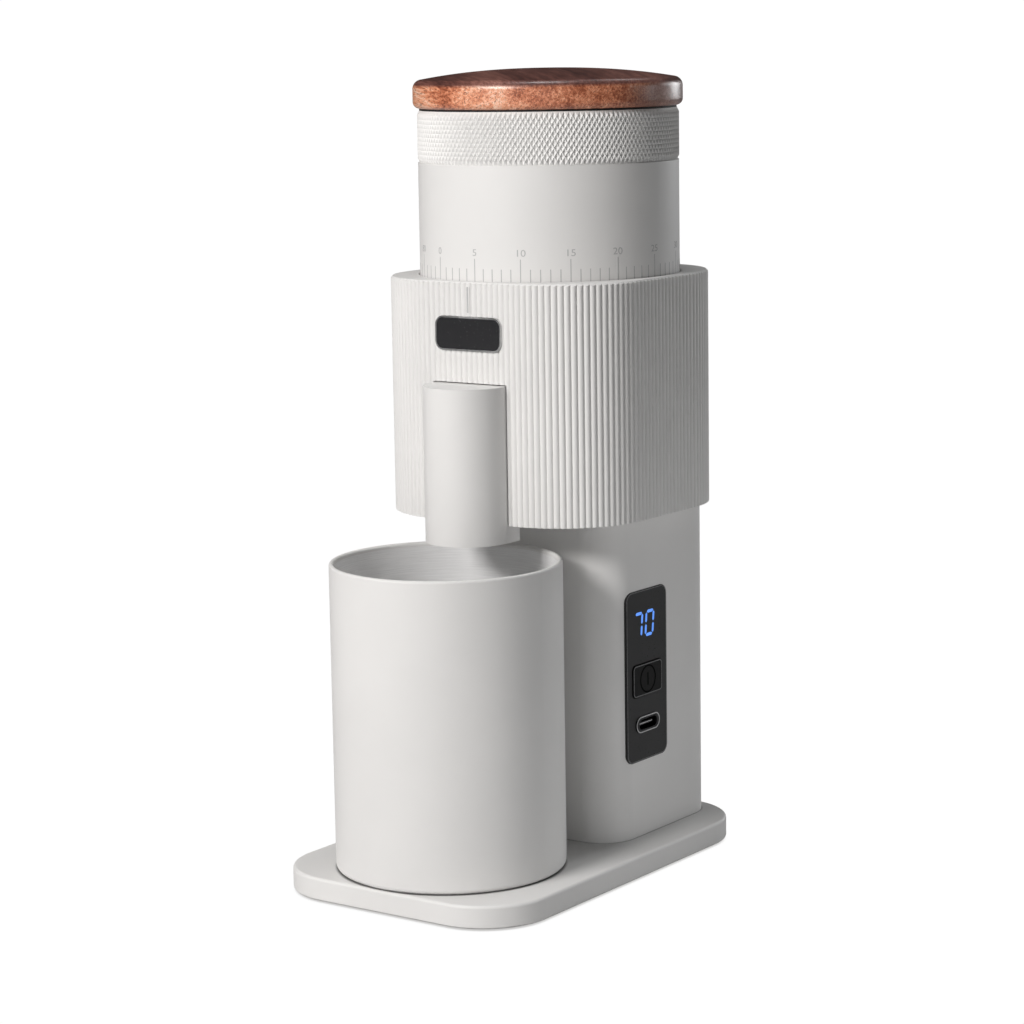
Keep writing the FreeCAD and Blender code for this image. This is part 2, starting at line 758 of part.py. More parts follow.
nodes["chamber_screws"] = Part.makeCompound([
    screw(x, y, up_seat, 1, screw_r, screw_head_r, up_length) for x, y in leg_places])
nodes["shell_screws"] = Part.makeCompound([
    screw(x, y, up_seat, 1, screw_r, screw_head_r, up_length) for x, y in boss_places])
nodes["floor_screws"] = Part.makeCompound([
    screw(x, y, floor_screw_seat, -1, screw_r, screw_head_r, floor_screw_seat - drum_bottom + screw_bite)
    for x, y in top_post_places])

# Drum shell: ribbed rounded square, open below, with a round hole in its deck for the dial
shell = ribbed_block(drum_bottom, drum_top)
bevel_block = square_ring(drum_half, drum_corner_r, drum_bottom, drum_top)
bevel_block = bevel_block.makeChamfer(drum_bevel, edges_at(bevel_block, drum_top))
shell = shell.common(bevel_block)
deck_bottom = drum_top - drum_deck
cavity = square_ring(cavity_half, cavity_corner_r, drum_bottom, deck_bottom)
bosses = [cyl(shell_boss_r, floor_top, floor_top + shell_boss_height, x, y) for x, y in boss_places]
webs = []
for x, y in boss_places:
    web = Part.makeBox(shell_web, shell_boss_r, shell_boss_height, V(0, -shell_boss_r / 2, floor_top))
    web.rotate(V(0, 0, 0), UP, math.degrees(math.atan2(y, x)))
    webs.append(web.translated(V(x, y, 0)))
inside = joined(bosses + webs).common(square_ring(cavity_half + post_sink, cavity_corner_r + post_sink,
                                                  drum_bottom, drum_top))
shell = shell.cut(cavity)
shell = shell.fuse(inside)
for x, y in boss_places:
    shell = shell.cut(cyl(screw_r, floor_top, floor_top + screw_bite, x, y))
shell = shell.cut(cyl(dial_r + dial_gap, deck_bottom, drum_top))
shell = shell.cut(box(-slot_half, slot_half, -2 * drum_half, -cavity_half + spout_slot_reach,
                      drum_bottom, slot_top))
badge_back = drum_half - badge_depth
badge_face = drum_half + badge_proud
badge_low = badge_z - badge_height / 2
badge_high = badge_z + badge_height / 2
shell = shell.cut(front_block(-badge_width / 2 - badge_fit, badge_width / 2 + badge_fit,
                              badge_low - badge_fit, badge_high + badge_fit, badge_corner_r + badge_fit,
                              -badge_back, -badge_face))
pointer_high = drum_top - pointer_below_top
pointer_low = pointer_high - pointer_length
pointer_back = drum_half - pointer_depth
shell = shell.cut(box(-pointer_width / 2, pointer_width / 2, -badge_face, -pointer_back,
                      pointer_low, pointer_high))
nodes["drum_shell"] = shell
nodes["pointer_mark"] = box(-pointer_width / 2, pointer_width / 2, -drum_half - pointer_proud, -pointer_back,
                            pointer_low, pointer_high)
rim = front_block(-badge_width / 2, badge_width / 2, badge_low, badge_high, badge_corner_r,
                  -badge_back, -badge_face)
inner = (-badge_width / 2 + badge_rim, badge_width / 2 - badge_rim, badge_low + badge_rim,
         badge_high - badge_rim, badge_corner_r - badge_rim, -badge_back, -badge_face)
nodes["badge_rim"] = rim.cut(front_block(*inner))
nodes["badge_plate"] = front_block(*inner)

# Grinding chamber: floor on four legs, a bearing hub, a bored wall and a front port for the grounds
chamber = [cyl(chamber_plate_r, chamber_bottom, chamber_top), cyl(chamber_r, chamber_top, chamber_rim),
           cyl(bearing_r + hub_wall, chamber_top, hub_top)]
flange_half = port_width / 2 + port_flange
chamber.append(box(-flange_half, flange_half, -port_face, -chamber_bore_r, chamber_bottom,
                   chamber_top + port_height + port_flange))
for x, y in leg_places:
    chamber.append(cyl(leg_r, floor_top, chamber_bottom, x, y))
for angle in lug_angles:
    arm = Part.makeBox(lug_circle_r - chamber_bore_r, 2 * lug_r, lug_height,
                       V(chamber_bore_r, -lug_r, chamber_rim - lug_height))
    end = Part.makeCylinder(lug_r, lug_height, V(lug_circle_r, 0, chamber_rim - lug_height), UP)
    lug = arm.fuse(end)
    lug.rotate(V(0, 0, 0), UP, angle)
    chamber.append(lug)
chamber = joined(chamber)
chamber_cut = tube(chamber_bore_r, bearing_r + hub_wall, chamber_top, chamber_rim)
chamber = chamber.cut(chamber_cut).cut(cyl(bearing_r + hub_wall, hub_top, chamber_rim))
chamber = chamber.cut(cyl(bearing_r, chamber_bottom, hub_top))
chamber = chamber.cut(box(-port_width / 2, port_width / 2, -port_face, -chamber_bore_r / 2, chamber_top,
                          chamber_top + port_height))
guide_z = chamber_rim - lug_height - guide_pin_drop
lug_places = [(lug_circle_r * math.cos(math.radians(a)), lug_circle_r * math.sin(math.radians(a)))
              for a in lug_angles]
for x, y in leg_places:
    chamber = chamber.cut(cyl(screw_r, floor_top, floor_top + screw_bite, x, y))
for x, y in lug_places:
    chamber = chamber.cut(cyl(small_screw_r, chamber_rim - screw_bite, chamber_rim, x, y))
for side in (-1, 1):
    chamber = chamber.cut(Part.makeCylinder(guide_pin_r, chamber_r, V(0, 0, guide_z), V(side, 0, 0)))
nodes["grinding_chamber"] = chamber
guide_inner = carrier_r - guide_pin_reach
nodes["guide_pins"] = Part.makeCompound([
    Part.makeCylinder(guide_pin_r, chamber_r - guide_inner, V(side * guide_inner, 0, guide_z), V(side, 0, 0))
    for side in (-1, 1)])

# Collar on the chamber: the dial turns round its spigot
collar = [tube(collar_r, chamber_bore_r, chamber_rim, collar_top),
          tube(dial_bore_r - run_fit, chamber_bore_r, collar_top, collar_top + collar_spigot)]
for angle in lug_angles:
    arm = Part.makeBox(lug_circle_r - chamber_r, 2 * lug_r, collar_lug_height,
                       V(chamber_r, -lug_r, chamber_rim))
    end = Part.makeCylinder(lug_r, collar_lug_height, V(lug_circle_r, 0, chamber_rim), UP)
    lug = arm.fuse(end)
    lug.rotate(V(0, 0, 0), UP, angle)
    collar.append(lug)
collar = joined(collar)
for x, y in lug_places:
    collar = collar.cut(cyl(small_screw_r + screw_hole_fit, chamber_rim, collar_top, x, y))
    collar = collar.cut(cyl(small_head_r + screw_hole_fit, chamber_rim + collar_lug_height, collar_top, x, y))
nodes["dial_collar"] = collar
nodes["collar_screws"] = Part.makeCompound([
    screw(x, y, chamber_rim + collar_lug_height, -1, small_screw_r, small_head_r,
          collar_lug_height + short_bite) for x, y in lug_places])

# Sweep disc under the inner burr: its paddles push the grounds to the port
paddles = []
for i in range(paddle_count):
    paddle = box(bearing_r + hub_wall + paddle_gap, chamber_bore_r - paddle_gap, -paddle_width / 2,
                 paddle_width / 2, sweep_bottom, sweep_top - sweep_plate + post_sink)
    paddle.rotate(V(0, 0, 0), UP, i * 360.0 / paddle_count + paddle_turn)
    paddles.append(paddle)
sweep = joined([cyl(burr_r, sweep_top - sweep_plate, sweep_top)] + paddles)
nodes["sweep_disc"] = sweep.cut(cyl(shaft_r, sweep_bottom, sweep_top))

# Inner burr: a cone with coarse spiral flutes above and a band of fine teeth below
band_r = burr_r - burr_band * burr_band_slope
cone = turned([(shaft_r, burr_bottom), (burr_r, burr_bottom), (band_r, burr_bottom + burr_band),
               (burr_top_r, burr_top), (shaft_r, burr_top)])
cone_tilt = math.degrees(math.atan2(band_r - burr_top_r, burr_height - burr_band))
for i in range(burr_flutes):
    groove = Part.makeBox(burr_flute_depth, burr_flute_depth, 2 * burr_height,
                          V(-burr_flute_depth / 2, -burr_flute_depth / 2, 0))
    groove.rotate(V(0, 0, 0), UP, cutter_turn)
    groove.rotate(V(0, 0, 0), RIGHT, -cone_tilt)
    groove.rotate(V(0, 0, 0), V(0, -1, 0), -cone_tilt)
    groove.translate(V(band_r, -burr_flute_depth, burr_bottom + burr_band))
    groove.rotate(V(0, 0, 0), UP, i * 360.0 / burr_flutes)
    cone = cone.cut(groove)
for i in range(burr_teeth):
    notch = Part.makeBox(burr_tooth_depth, burr_tooth_depth, 2 * burr_band,
                         V(-burr_tooth_depth / 2, -burr_tooth_depth / 2, -burr_band))
    notch.rotate(V(0, 0, 0), UP, cutter_turn)
    notch.translate(V(burr_r, 0, burr_bottom))
    notch.rotate(V(0, 0, 0), UP, (i + 0.5) * 360.0 / burr_teeth)
    cone = cone.cut(notch)
nodes["inner_burr"] = cone
nut_turns = [2 * math.pi * i / nut_sides for i in range(nut_sides + 1)]
nut_outline = Part.makePolygon([V(nut_r * math.cos(a), nut_r * math.sin(a), burr_top) for a in nut_turns])
nut = Part.Face(nut_outline).extrude(V(0, 0, nut_height))
nodes["burr_nut"] = nut.cut(cyl(shaft_r, burr_top, burr_top + nut_height))

# Outer burr: a ring that follows the inner cone, opens upwards and is grooved inside
low_r = burr_r + burr_gap - (outer_burr_bottom - burr_bottom) * burr_band_slope
throat_z = burr_bottom + burr_band + burr_gap
throat_r = burr_r + burr_gap - (throat_z - burr_bottom) * burr_band_slope
ring = turned([(low_r, outer_burr_bottom), (outer_burr_r, outer_burr_bottom), (outer_burr_r, outer_burr_top),
               (outer_burr_mouth_r, outer_burr_top), (throat_r, throat_z)])
for i in range(outer_burr_grooves):
    groove = Part.makeCylinder(outer_groove_r, outer_burr_height, V(outer_burr_mouth_r, 0, throat_z), UP)
    groove.rotate(V(outer_burr_mouth_r, 0, throat_z), V(0, 1, 0), outer_groove_tilt)
    groove.rotate(V(0, 0, 0), UP, i * 360.0 / outer_burr_grooves)
    ring = ring.cut(groove)
nodes["outer_burr"] = ring

# Burr carrier: slides in the chamber, kept from turning by the guide pins, lifted by the dial's thread
carrier = joined([cyl(carrier_r, carrier_bottom, carrier_flange),
                  cyl(dial_bore_r - run_fit, carrier_flange, carrier_top)])
carrier = carrier.cut(cyl(carrier_bore_r, outer_burr_top, carrier_top))
carrier = carrier.cut(cyl(outer_burr_r, outer_burr_bottom, outer_burr_top))
carrier = carrier.cut(cyl(outer_burr_r - 2 * carrier_lip, carrier_bottom, outer_burr_bottom))
slot_r = guide_pin_r + guide_slot_fit
slot_low = guide_z - guide_slot_travel
slot_high = guide_z + guide_slot_travel
for side in (-1, 1):
    slot_start = side * (guide_inner - seat_gap)
    slot_end = side * carrier_r * 2
    for z in (slot_low, slot_high):
        carrier = carrier.cut(Part.makeCylinder(slot_r, carrier_r, V(slot_start, 0, z), V(side, 0, 0)))
    near, far = sorted((slot_start, slot_end))
    carrier = carrier.cut(box(near, far, -slot_r, slot_r, slot_low, slot_high))
nodes["burr_carrier"] = carrier

# Grind dial, grip ring and hopper turn together
dial = cyl(dial_r, dial_bottom, dial_top).fuse(cyl(grip_seat_r, dial_top, grip_top - grip_reveal))
nodes["grind_dial"] = joined([dial]).cut(cyl(dial_bore_r, dial_bottom, grip_top))
grip = tube(grip_r, grip_seat_r, dial_top, grip_top)
nodes["grip_ring"] = grip.cut(cyl(grip_seat_r, dial_top, grip_top))
funnel_r = dial_bore_r - hopper_fit
neck_r = hopper_neck_r + hopper_wall
nodes["hopper"] = turned([
    (funnel_r, hopper_top), (funnel_r, cone_top), (neck_r, cone_bottom), (neck_r, neck_bottom),
    (hopper_neck_r, neck_bottom), (hopper_neck_r, cone_bottom), (hopper_mouth_r, cone_top),
    (hopper_mouth_r, hopper_top)])

# Wooden lid with a domed top, and the seal that plugs the hopper's mouth
dome_r = (lid_r ** 2 + lid_crown ** 2) / (2 * lid_crown)
lid_shoulder = lid_bottom + lid_side
lid_top = lid_shoulder + lid_crown
half_sag = dome_r - math.sqrt(dome_r ** 2 - (lid_r / 2) ** 2)
profile = [
    Part.LineSegment(V(0, 0, lid_bottom), V(lid_r, 0, lid_bottom)).toShape(),
    Part.LineSegment(V(lid_r, 0, lid_bottom), V(lid_r, 0, lid_shoulder)).toShape(),
    Part.Arc(V(lid_r, 0, lid_shoulder), V(lid_r / 2, 0, lid_top - half_sag), V(0, 0, lid_top)).toShape(),
    Part.LineSegment(V(0, 0, lid_top), V(0, 0, lid_bottom)).toShape(),
]
lid = wire_face(profile).revolve(V(0, 0, 0), UP, 360)
lid = lid.makeFillet(lid_edge_round, edges_at(lid, lid_shoulder))
lid = lid.makeFillet(lid_bottom_round, edges_at(lid, lid_bottom))
nodes["lid"] = joined([lid, cyl(lid_spigot_r, lid_bottom - lid_spigot_drop, lid_bottom)])
seal_skirt_r = lid_spigot_r + seal_skirt
nodes["lid_seal"] = joined([tube(seal_flange_r, lid_spigot_r, grip_top, lid_bottom),
                            tube(seal_skirt_r, lid_spigot_r, lid_bottom - seal_drop, lid_bottom)])

# Spout: half-round chute in the drum's slot, open below and joined to the chamber's port
spout = spout_face(spout_r, port_face, spout_bottom).extrude(V(0, 0, spout_top - spout_bottom))
duct = spout_face(spout_r - spout_wall, port_face + spout_wall, spout_bottom)
spout = spout.cut(duct.extrude(V(0, 0, spout_top - spout_roof - spout_bottom)))
spout = spout.cut(box(-port_width / 2, port_width / 2, -spout_y, -port_face, chamber_top,
                      chamber_top + port_height))
nodes["spout"] = spout

# Catch cup: turned shell with a rounded lip, standing on the base under the spout
cup_top = base_top + cup_height
outer = cyl(cup_r, base_top, cup_top, 0.0, -cup_y)
outer = outer.makeFillet(cup_foot_round, edges_at(outer, base_top))
hollow = cyl(cup_r - cup_wall, base_top + cup_floor, cup_top, 0.0, -cup_y)
hollow = hollow.makeFillet(cup_inner_round, edges_at(hollow, base_top + cup_floor))
cup = outer.cut(hollow)
nodes["catch_cup"] = cup.makeFillet(cup_lip_round, edges_at(cup, cup_top))

# Move the burr axis behind the middle of the base and write one file per piece
os.makedirs("parts", exist_ok=True)
home = V(0, base_length / 2 - axis_from_back, 0)
for name, shape in nodes.items():
    if not shape.isValid():
        raise ValueError("invalid shape: " + name)
    shape.translated(home).exportStep("parts/" + name + ".step")
    print(name, len(shape.Solids), round(shape.Volume, 1))
print("pieces", len(nodes), "height", round(lid_top, 2), "axis at y", round(home.y, 3))
print("idler at", round(idler_x, 3), round(idler_y + home.y, 3))
print("ratios", wheel_teeth / motor_teeth, output_teeth / idler_teeth)
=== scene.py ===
"""The looks of a burr coffee grinder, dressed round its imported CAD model. Metres, front towards -Y."""

import math

import bpy
from mathutils import Matrix, Vector


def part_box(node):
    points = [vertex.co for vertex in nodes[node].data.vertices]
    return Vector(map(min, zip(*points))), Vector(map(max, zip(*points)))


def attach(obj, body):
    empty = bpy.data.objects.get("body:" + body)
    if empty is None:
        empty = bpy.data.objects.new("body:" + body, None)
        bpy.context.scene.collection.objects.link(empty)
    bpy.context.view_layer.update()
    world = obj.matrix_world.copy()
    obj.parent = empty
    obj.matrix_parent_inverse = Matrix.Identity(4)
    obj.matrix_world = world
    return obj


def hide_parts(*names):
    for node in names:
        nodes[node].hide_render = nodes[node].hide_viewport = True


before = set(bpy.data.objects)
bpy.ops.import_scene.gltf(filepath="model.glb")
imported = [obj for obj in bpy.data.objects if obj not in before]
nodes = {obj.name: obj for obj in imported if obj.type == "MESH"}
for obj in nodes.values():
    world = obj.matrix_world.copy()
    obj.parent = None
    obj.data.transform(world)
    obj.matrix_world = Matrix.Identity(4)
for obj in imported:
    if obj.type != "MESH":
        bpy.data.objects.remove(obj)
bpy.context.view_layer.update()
scene = bpy.context.scene

MM = 0.001
TURN = 2 * math.pi


# Material building

OPENNESS_SAMPLES = 12


class Surface:
    """One material's node tree, with short calls that add and link its nodes."""

    def __init__(self, name):
        self.material = bpy.data.materials.new(name)
        self.material.use_nodes = True
        self.tree = self.material.node_tree
        self.shader = self.tree.nodes["Principled BSDF"]
        self.place = self.add("ShaderNodeTexCoord").outputs["Object"]

    def add(self, kind, **settings):
        node = self.tree.nodes.new(kind)
        for name, value in settings.items():
            setattr(node, name, value)
        return node

    def feed(self, socket, value):
        """Links a value that is another node's output, and otherwise sets it on the socket."""
        if isinstance(value, bpy.types.NodeSocket):
            self.tree.links.new(value, socket)
        else:
            socket.default_value = value

    def put(self, **values):
        """Sets or links the shader's own inputs, named with underscores for spaces."""
        for name, value in values.items():
            self.feed(self.shader.inputs[name.replace("_", " ")], value)

    def mapped(self, place, scale=(1, 1, 1), turn=(0, 0, 0), move=(0, 0, 0)):
        node = self.add("ShaderNodeMapping")
        self.feed(node.inputs["Vector"], place)
        node.inputs["Scale"].default_value = scale
        node.inputs["Rotation"].default_value = turn
        node.inputs["Location"].default_value = move
        return node.outputs["Vector"]

    def noise(self, scale, detail, rough=0.5, place=None):
        node = self.add("ShaderNodeTexNoise")
        self.feed(node.inputs["Vector"], self.place if place is None else place)
        node.inputs["Scale"].default_value = scale
        node.inputs["Detail"].default_value = detail
        node.inputs["Roughness"].default_value = rough
        return node.outputs["Fac"]

    def stretched(self, place, scales, detail, rough):
        """Noise with a scale of its own along each axis."""
        return self.noise(1.0, detail, rough, self.mapped(place, scales))

    def openness(self, reach):
        """Runs from 1 in the open down to 0 where other surfaces close in, within a reach."""
        node = self.add("ShaderNodeAmbientOcclusion", samples=OPENNESS_SAMPLES)
        node.inputs["Distance"].default_value = reach
        return node.outputs["AO"]

    def maths(self, operation, first, second=0.0):
        node = self.add("ShaderNodeMath", operation=operation)
        self.feed(node.inputs[0], first)
        self.feed(node.inputs[1], second)
        return node.outputs[0]

    def plus(self, first, second):
        return self.maths("ADD", first, second)

    def minus(self, first, second):
        return self.maths("SUBTRACT", first, second)

    def times(self, first, second):
        return self.maths("MULTIPLY", first, second)

    def between(self, share, first, second):
        """A number that is the first at share 0 and the second at share 1."""
        return self.plus(self.times(share, second), self.times(self.minus(1.0, share), first))

    def spread(self, value, low=0.0, high=1.0, start=0.3, end=0.7):
        """Maps a value between start and end to low and high, held at its ends."""
        node = self.add("ShaderNodeMapRange", clamp=True)
        self.feed(node.inputs["Value"], value)
        limits = {"From Min": start, "From Max": end, "To Min": low, "To Max": high}
        for name, number in limits.items():
            self.feed(node.inputs[name], number)
        return node.outputs["Result"]

    def ramp(self, value, stops):
        node = self.add("ShaderNodeValToRGB")
        self.feed(node.inputs["Fac"], value)
        row = node.color_ramp.elements
        while len(row) < len(stops):
            row.new(1.0)
        for element, (position, colour) in zip(row, stops):
            element.position = position
            element.color = (*colour, 1.0)
        return node.outputs["Color"]

    def mix(self, share, first, second):
        node = self.add("ShaderNodeMix", data_type="RGBA")
        self.feed(node.inputs["Factor"], share)
        for socket, colour in ((node.inputs["A"], first), (node.inputs["B"], second)):
            if isinstance(colour, tuple):
                colour = (*colour, 1.0)
            self.feed(socket, colour)
        return node.outputs["Result"]

    def bump(self, height, distance, strength, under=None):
        node = self.add("ShaderNodeBump")
        node.inputs["Strength"].default_value = strength
        node.inputs["Distance"].default_value = distance
        self.feed(node.inputs["Height"], height)
        if under is not None:
            self.feed(node.inputs["Normal"], under)
        return node.outputs["Normal"]

    def parts(self, place):
        node = self.add("ShaderNodeSeparateXYZ")
        self.feed(node.inputs[0], place)
        return node.outputs

    def together(self, x, y, z):
        node = self.add("ShaderNodeCombineXYZ")
        for socket, value in zip(node.inputs, (x, y, z)):
            self.feed(socket, value)
        return node.outputs[0]


# Paint

WHITE = (0.800, 0.792, 0.780)
WHITE_DEEP = (0.770, 0.763, 0.752)
# The tone of painted shade, where other surfaces close in on the paint
PAINTED_SHADE_TONE = (0.160, 0.158, 0.155)
PAINT_ROUGH = 0.50
PAINT_ROUGH_SPAN = 0.07
PAINT_SHINE = 0.42
PAINT_DRIFT = 38
PAINT_DAPPLE = 420
PAINT_STIPPLE = 2400


def sprayed(s):
    """White satin paint: its tone, which drifts a little, its roughness, and its fine stipple."""
    tone = s.mix(s.spread(s.noise(PAINT_DRIFT, detail=3.0)), WHITE, WHITE_DEEP)
    stipple = s.noise(PAINT_STIPPLE, detail=3.0, rough=0.6)
    roughness = s.spread(stipple, PAINT_ROUGH - PAINT_ROUGH_SPAN, PAINT_ROUGH + PAINT_ROUGH_SPAN)
    return tone, roughness, stipple


def coat(name, shade_reach=0.0):
    """Satin paint with painted shade: its tone darkens where other surfaces close in within a reach, where
    one is given.
    """
    s = Surface(name)
    tone, roughness, stipple = sprayed(s)
    if shade_reach:
        # Painted shade: the tone darkens towards a dark grey where other surfaces close in
        painted_shade = s.spread(s.openness(shade_reach), low=1.0, high=0.0, start=0.40, end=0.80)
        tone = s.mix(painted_shade, tone, PAINTED_SHADE_TONE)
    dapple = s.bump(s.noise(PAINT_DAPPLE, detail=2.0), distance=0.010 * MM, strength=0.5)
    s.put(Base_Color=tone, Roughness=roughness, Specular_IOR_Level=PAINT_SHINE)
    s.put(Normal=s.bump(stipple, distance=0.012 * MM, strength=0.55, under=dapple))
    return s.material


CUP_BARE = (0.93, 0.93, 0.93)
CUP_BARE_DEEP = (0.80, 0.80, 0.80)
CUP_BARE_METAL = 0.18
TOOL_LINES = 3800.0
TOOL_LINES_AROUND = 3.0


def cup_coat(name, axis, inside_radius, floor_top, lip):
    """Satin paint outside and over the lip, with turned bare metal inside."""
    s = Surface(name)
    x, y, z = s.parts(s.mapped(s.place, move=(-axis[0], -axis[1], 0)))
    reach = s.maths("SQRT", s.plus(s.times(x, x), s.times(y, y)))
    inside = s.maths("LESS_THAN", reach, inside_radius)
    inside = s.times(inside, s.maths("GREATER_THAN", z, floor_top))
    inside = s.times(inside, s.maths("LESS_THAN", z, lip))
    around = s.times(s.maths("ARCTAN2", y, x), TOOL_LINES_AROUND)
    turned = s.together(around, s.times(z, TOOL_LINES), s.times(reach, TOOL_LINES))
    lines = s.noise(1.0, detail=4.0, rough=0.62, place=turned)
    bare = s.mix(s.spread(lines), CUP_BARE, CUP_BARE_DEEP)
    bare_rough = s.spread(lines, low=0.30, high=0.48)
    paint, paint_rough, stipple = sprayed(s)
    s.put(Base_Color=s.mix(inside, paint, bare), Metallic=s.times(inside, CUP_BARE_METAL))
    s.put(Roughness=s.between(inside, paint_rough, bare_rough), Specular_IOR_Level=PAINT_SHINE)
    s.put(Normal=s.bump(s.between(inside, stipple, lines), distance=0.010 * MM, strength=0.55))
    return s.material


# How far the painted shade on the base plate reaches from the parts that stand on it
BASE_SHADE_REACH = 1.1 * MM
white_coat = coat("white_coat")
base_painted_shade_coat = coat("base_painted_shade_coat", BASE_SHADE_REACH)

CUP_WALL = 1.3 * MM
CUP_WALL_SHARE = 0.97
CUP_FLOOR_SHARE = 0.5
CUP_LIP = 1.10 * MM
cup_low, cup_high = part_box("catch_cup")
cup_axis = ((cup_low.x + cup_high.x) / 2, (cup_low.y + cup_high.y) / 2)
cup_radius = (cup_high.x - cup_low.x) / 2
cup_white = cup_coat("cup_white", cup_axis, inside_radius=cup_radius - CUP_WALL_SHARE * CUP_WALL,
                     floor_top=cup_low.z + CUP_FLOOR_SHARE * CUP_WALL, lip=cup_high.z - CUP_LIP)


# Wood

GRAIN_TURN = (0.10, -0.16, 0.62)
GRAIN_MOVE = (0.013, 0.031, 0.017)
FIBRE_SCALES = (110, 1700, 1700)
STREAK_SCALES = (22, 330, 330)
PORE_SCALES = (330, 3600, 3600)
WARP_SCALE = 26
WARP_STRETCH = (0.25, 1, 1)
BANDS_ACROSS = 150.0
BANDS_DOWN = 260.0
BAND_WARP = 17.0
BAND_SHARE = 0.10
STREAK_SHARE = 0.60
FIBRE_SHARE = 0.95
SHADE_DROP = 0.28
FIBRE_RELIEF = 0.35
SIDE_TONES = (
    (0.22, (0.250, 0.060, 0.026)),
    (0.42, (0.590, 0.200, 0.100)),
    (0.58, (0.850, 0.380, 0.220)),
    (0.76, (0.950, 0.620, 0.460)),
)
# Darker tones for painted shade where the wood faces up, over the crown
PAINTED_SHADE_CROWN_TONES = (
    (0.22, (0.066, 0.025, 0.021)),
    (0.42, (0.140, 0.055, 0.044)),
    (0.60, (0.225, 0.094, 0.074)),
    (0.80, (0.360, 0.165, 0.128)),
)
PORE_TONE = (0.105, 0.034, 0.020)
PORE_SHARE = 0.62
# The wood darkens towards the right as the camera sees it, past a wavering edge
DARKENING_WAY = (0.815, 0.579)
DARKENING_START = 21 * MM
DARKENING_END = 31 * MM
DARKENING_WAVER = 10 * MM
DARKENING_SHARE = 0.85


def wood(name, axis, crown_top):
    """Oiled red-brown hardwood with bands, fibres and short pores, with painted shade on its crown and
    darker towards the right as the camera sees it.

    Its figure is placed from the y of the axis it is turned on and the height of its crown.
    """
    s = Surface(name)
    board_place = (GRAIN_MOVE[0], GRAIN_MOVE[1] - axis, GRAIN_MOVE[2] - crown_top)
    board = s.mapped(s.place, turn=GRAIN_TURN, move=board_place)
    _, across, down = s.parts(board)
    warp = s.noise(WARP_SCALE, detail=2.0, place=s.mapped(board, WARP_STRETCH))
    band_place = s.plus(s.times(across, BANDS_ACROSS), s.times(down, BANDS_DOWN))
    bands = s.maths("SINE", s.plus(band_place, s.times(warp, BAND_WARP)))
    fibre = s.stretched(board, FIBRE_SCALES, detail=4.0, rough=0.65)
    streak = s.stretched(board, STREAK_SCALES, detail=3.0, rough=0.55)
    pores = s.stretched(board, PORE_SCALES, detail=1.0, rough=0.4)
    shade = s.plus(s.times(bands, BAND_SHARE), s.times(streak, STREAK_SHARE))
    shade = s.plus(shade, s.minus(s.times(fibre, FIBRE_SHARE), SHADE_DROP))

    x, y, _ = s.parts(s.mapped(s.place, move=(0, -axis, 0)))
    # Darker towards the right as the camera sees it, past a wavering edge
    darkening_place = s.plus(s.times(x, DARKENING_WAY[0]), s.times(y, DARKENING_WAY[1]))
    darkening_place = s.plus(darkening_place, s.times(streak, DARKENING_WAVER))
    right_darkening = s.spread(darkening_place, high=DARKENING_SHARE, start=DARKENING_START, end=DARKENING_END)
    # Painted shade: where the surface faces up, it takes the darker crown tones
    facing_up = s.parts(s.add("ShaderNodeNewGeometry").outputs["Normal"])[2]
    crown_shade_and_right_darkening = s.maths("MAXIMUM", s.spread(facing_up, start=0.16, end=0.50), right_darkening)
    tone = s.mix(crown_shade_and_right_darkening, s.ramp(shade, SIDE_TONES), s.ramp(shade, PAINTED_SHADE_CROWN_TONES))

    pore = s.spread(pores, start=0.58, end=0.66)
    dent = s.minus(s.times(fibre, FIBRE_RELIEF), pore)
    s.put(Base_Color=s.mix(s.times(pore, PORE_SHARE), tone, PORE_TONE))
    s.put(Roughness=s.spread(fibre, low=0.30, high=0.44), Specular_IOR_Level=0.5)
    s.put(Coat_Weight=0.36, Coat_Roughness=0.24)
    s.put(Normal=s.bump(dent, distance=0.03 * MM, strength=0.7))
    return s.material


lid_low, lid_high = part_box("lid")
axis_y = (lid_low.y + lid_high.y) / 2
lid_wood = wood("lid_wood", axis_y, lid_high.z)


# Plastic, metal and light

PLASTIC_ROUGH_SPAN = 0.08
PLASTIC_DRIFT = 60
METAL_SMUDGE = 90
METAL_SMOOTHER = 0.06
METAL_ROUGHER = 0.08
EVEN_LINES = (900, 900, 900)
LAMP_GRAIN = 900
LAMP_DIM = 0.82
LAMP_UNLIT = (0.01, 0.02, 0.05, 1.0)


def plastic(name, light, dark, rough, grain, depth, shine=0.5):
    """Moulded plastic with a spark-eroded texture, whose depth is in millimetres."""
    s = Surface(name)
    texture = s.noise(grain, detail=3.0, rough=0.6)
    drift = s.noise(PLASTIC_DRIFT, detail=2.0)
    s.put(Base_Color=s.mix(s.spread(drift), light, dark), Specular_IOR_Level=shine)
    s.put(Roughness=s.spread(texture, rough - PLASTIC_ROUGH_SPAN, rough + PLASTIC_ROUGH_SPAN))
    s.put(Normal=s.bump(texture, distance=depth * MM, strength=0.6))
    return s.material


def metal(name, light, dark, rough, lines=(60, 60, 3000), depth=0.004):
    """Worked metal with fine tool lines, scaled along each axis; their depth is in millimetres."""
    s = Surface(name)
    tooled = s.stretched(s.place, lines, detail=3.0, rough=0.6)
    smudge = s.noise(METAL_SMUDGE, detail=3.0)
    s.put(Base_Color=s.mix(s.spread(tooled), light, dark), Metallic=1.0)
    s.put(Roughness=s.spread(smudge, rough - METAL_SMOOTHER, rough + METAL_ROUGHER))
    s.put(Normal=s.bump(tooled, distance=depth * MM, strength=0.6))
    return s.material


def lamp(name, colour, strength):
    """Lit display segments, a little uneven along each bar."""
    s = Surface(name)
    uneven = s.spread(s.noise(LAMP_GRAIN, detail=2.0))
    s.put(Base_Color=LAMP_UNLIT, Roughness=0.4)
    s.put(Emission_Color=s.mix(uneven, colour, tuple(LAMP_DIM * c for c in colour)))
    s.put(Emission_Strength=strength)
    return s.material


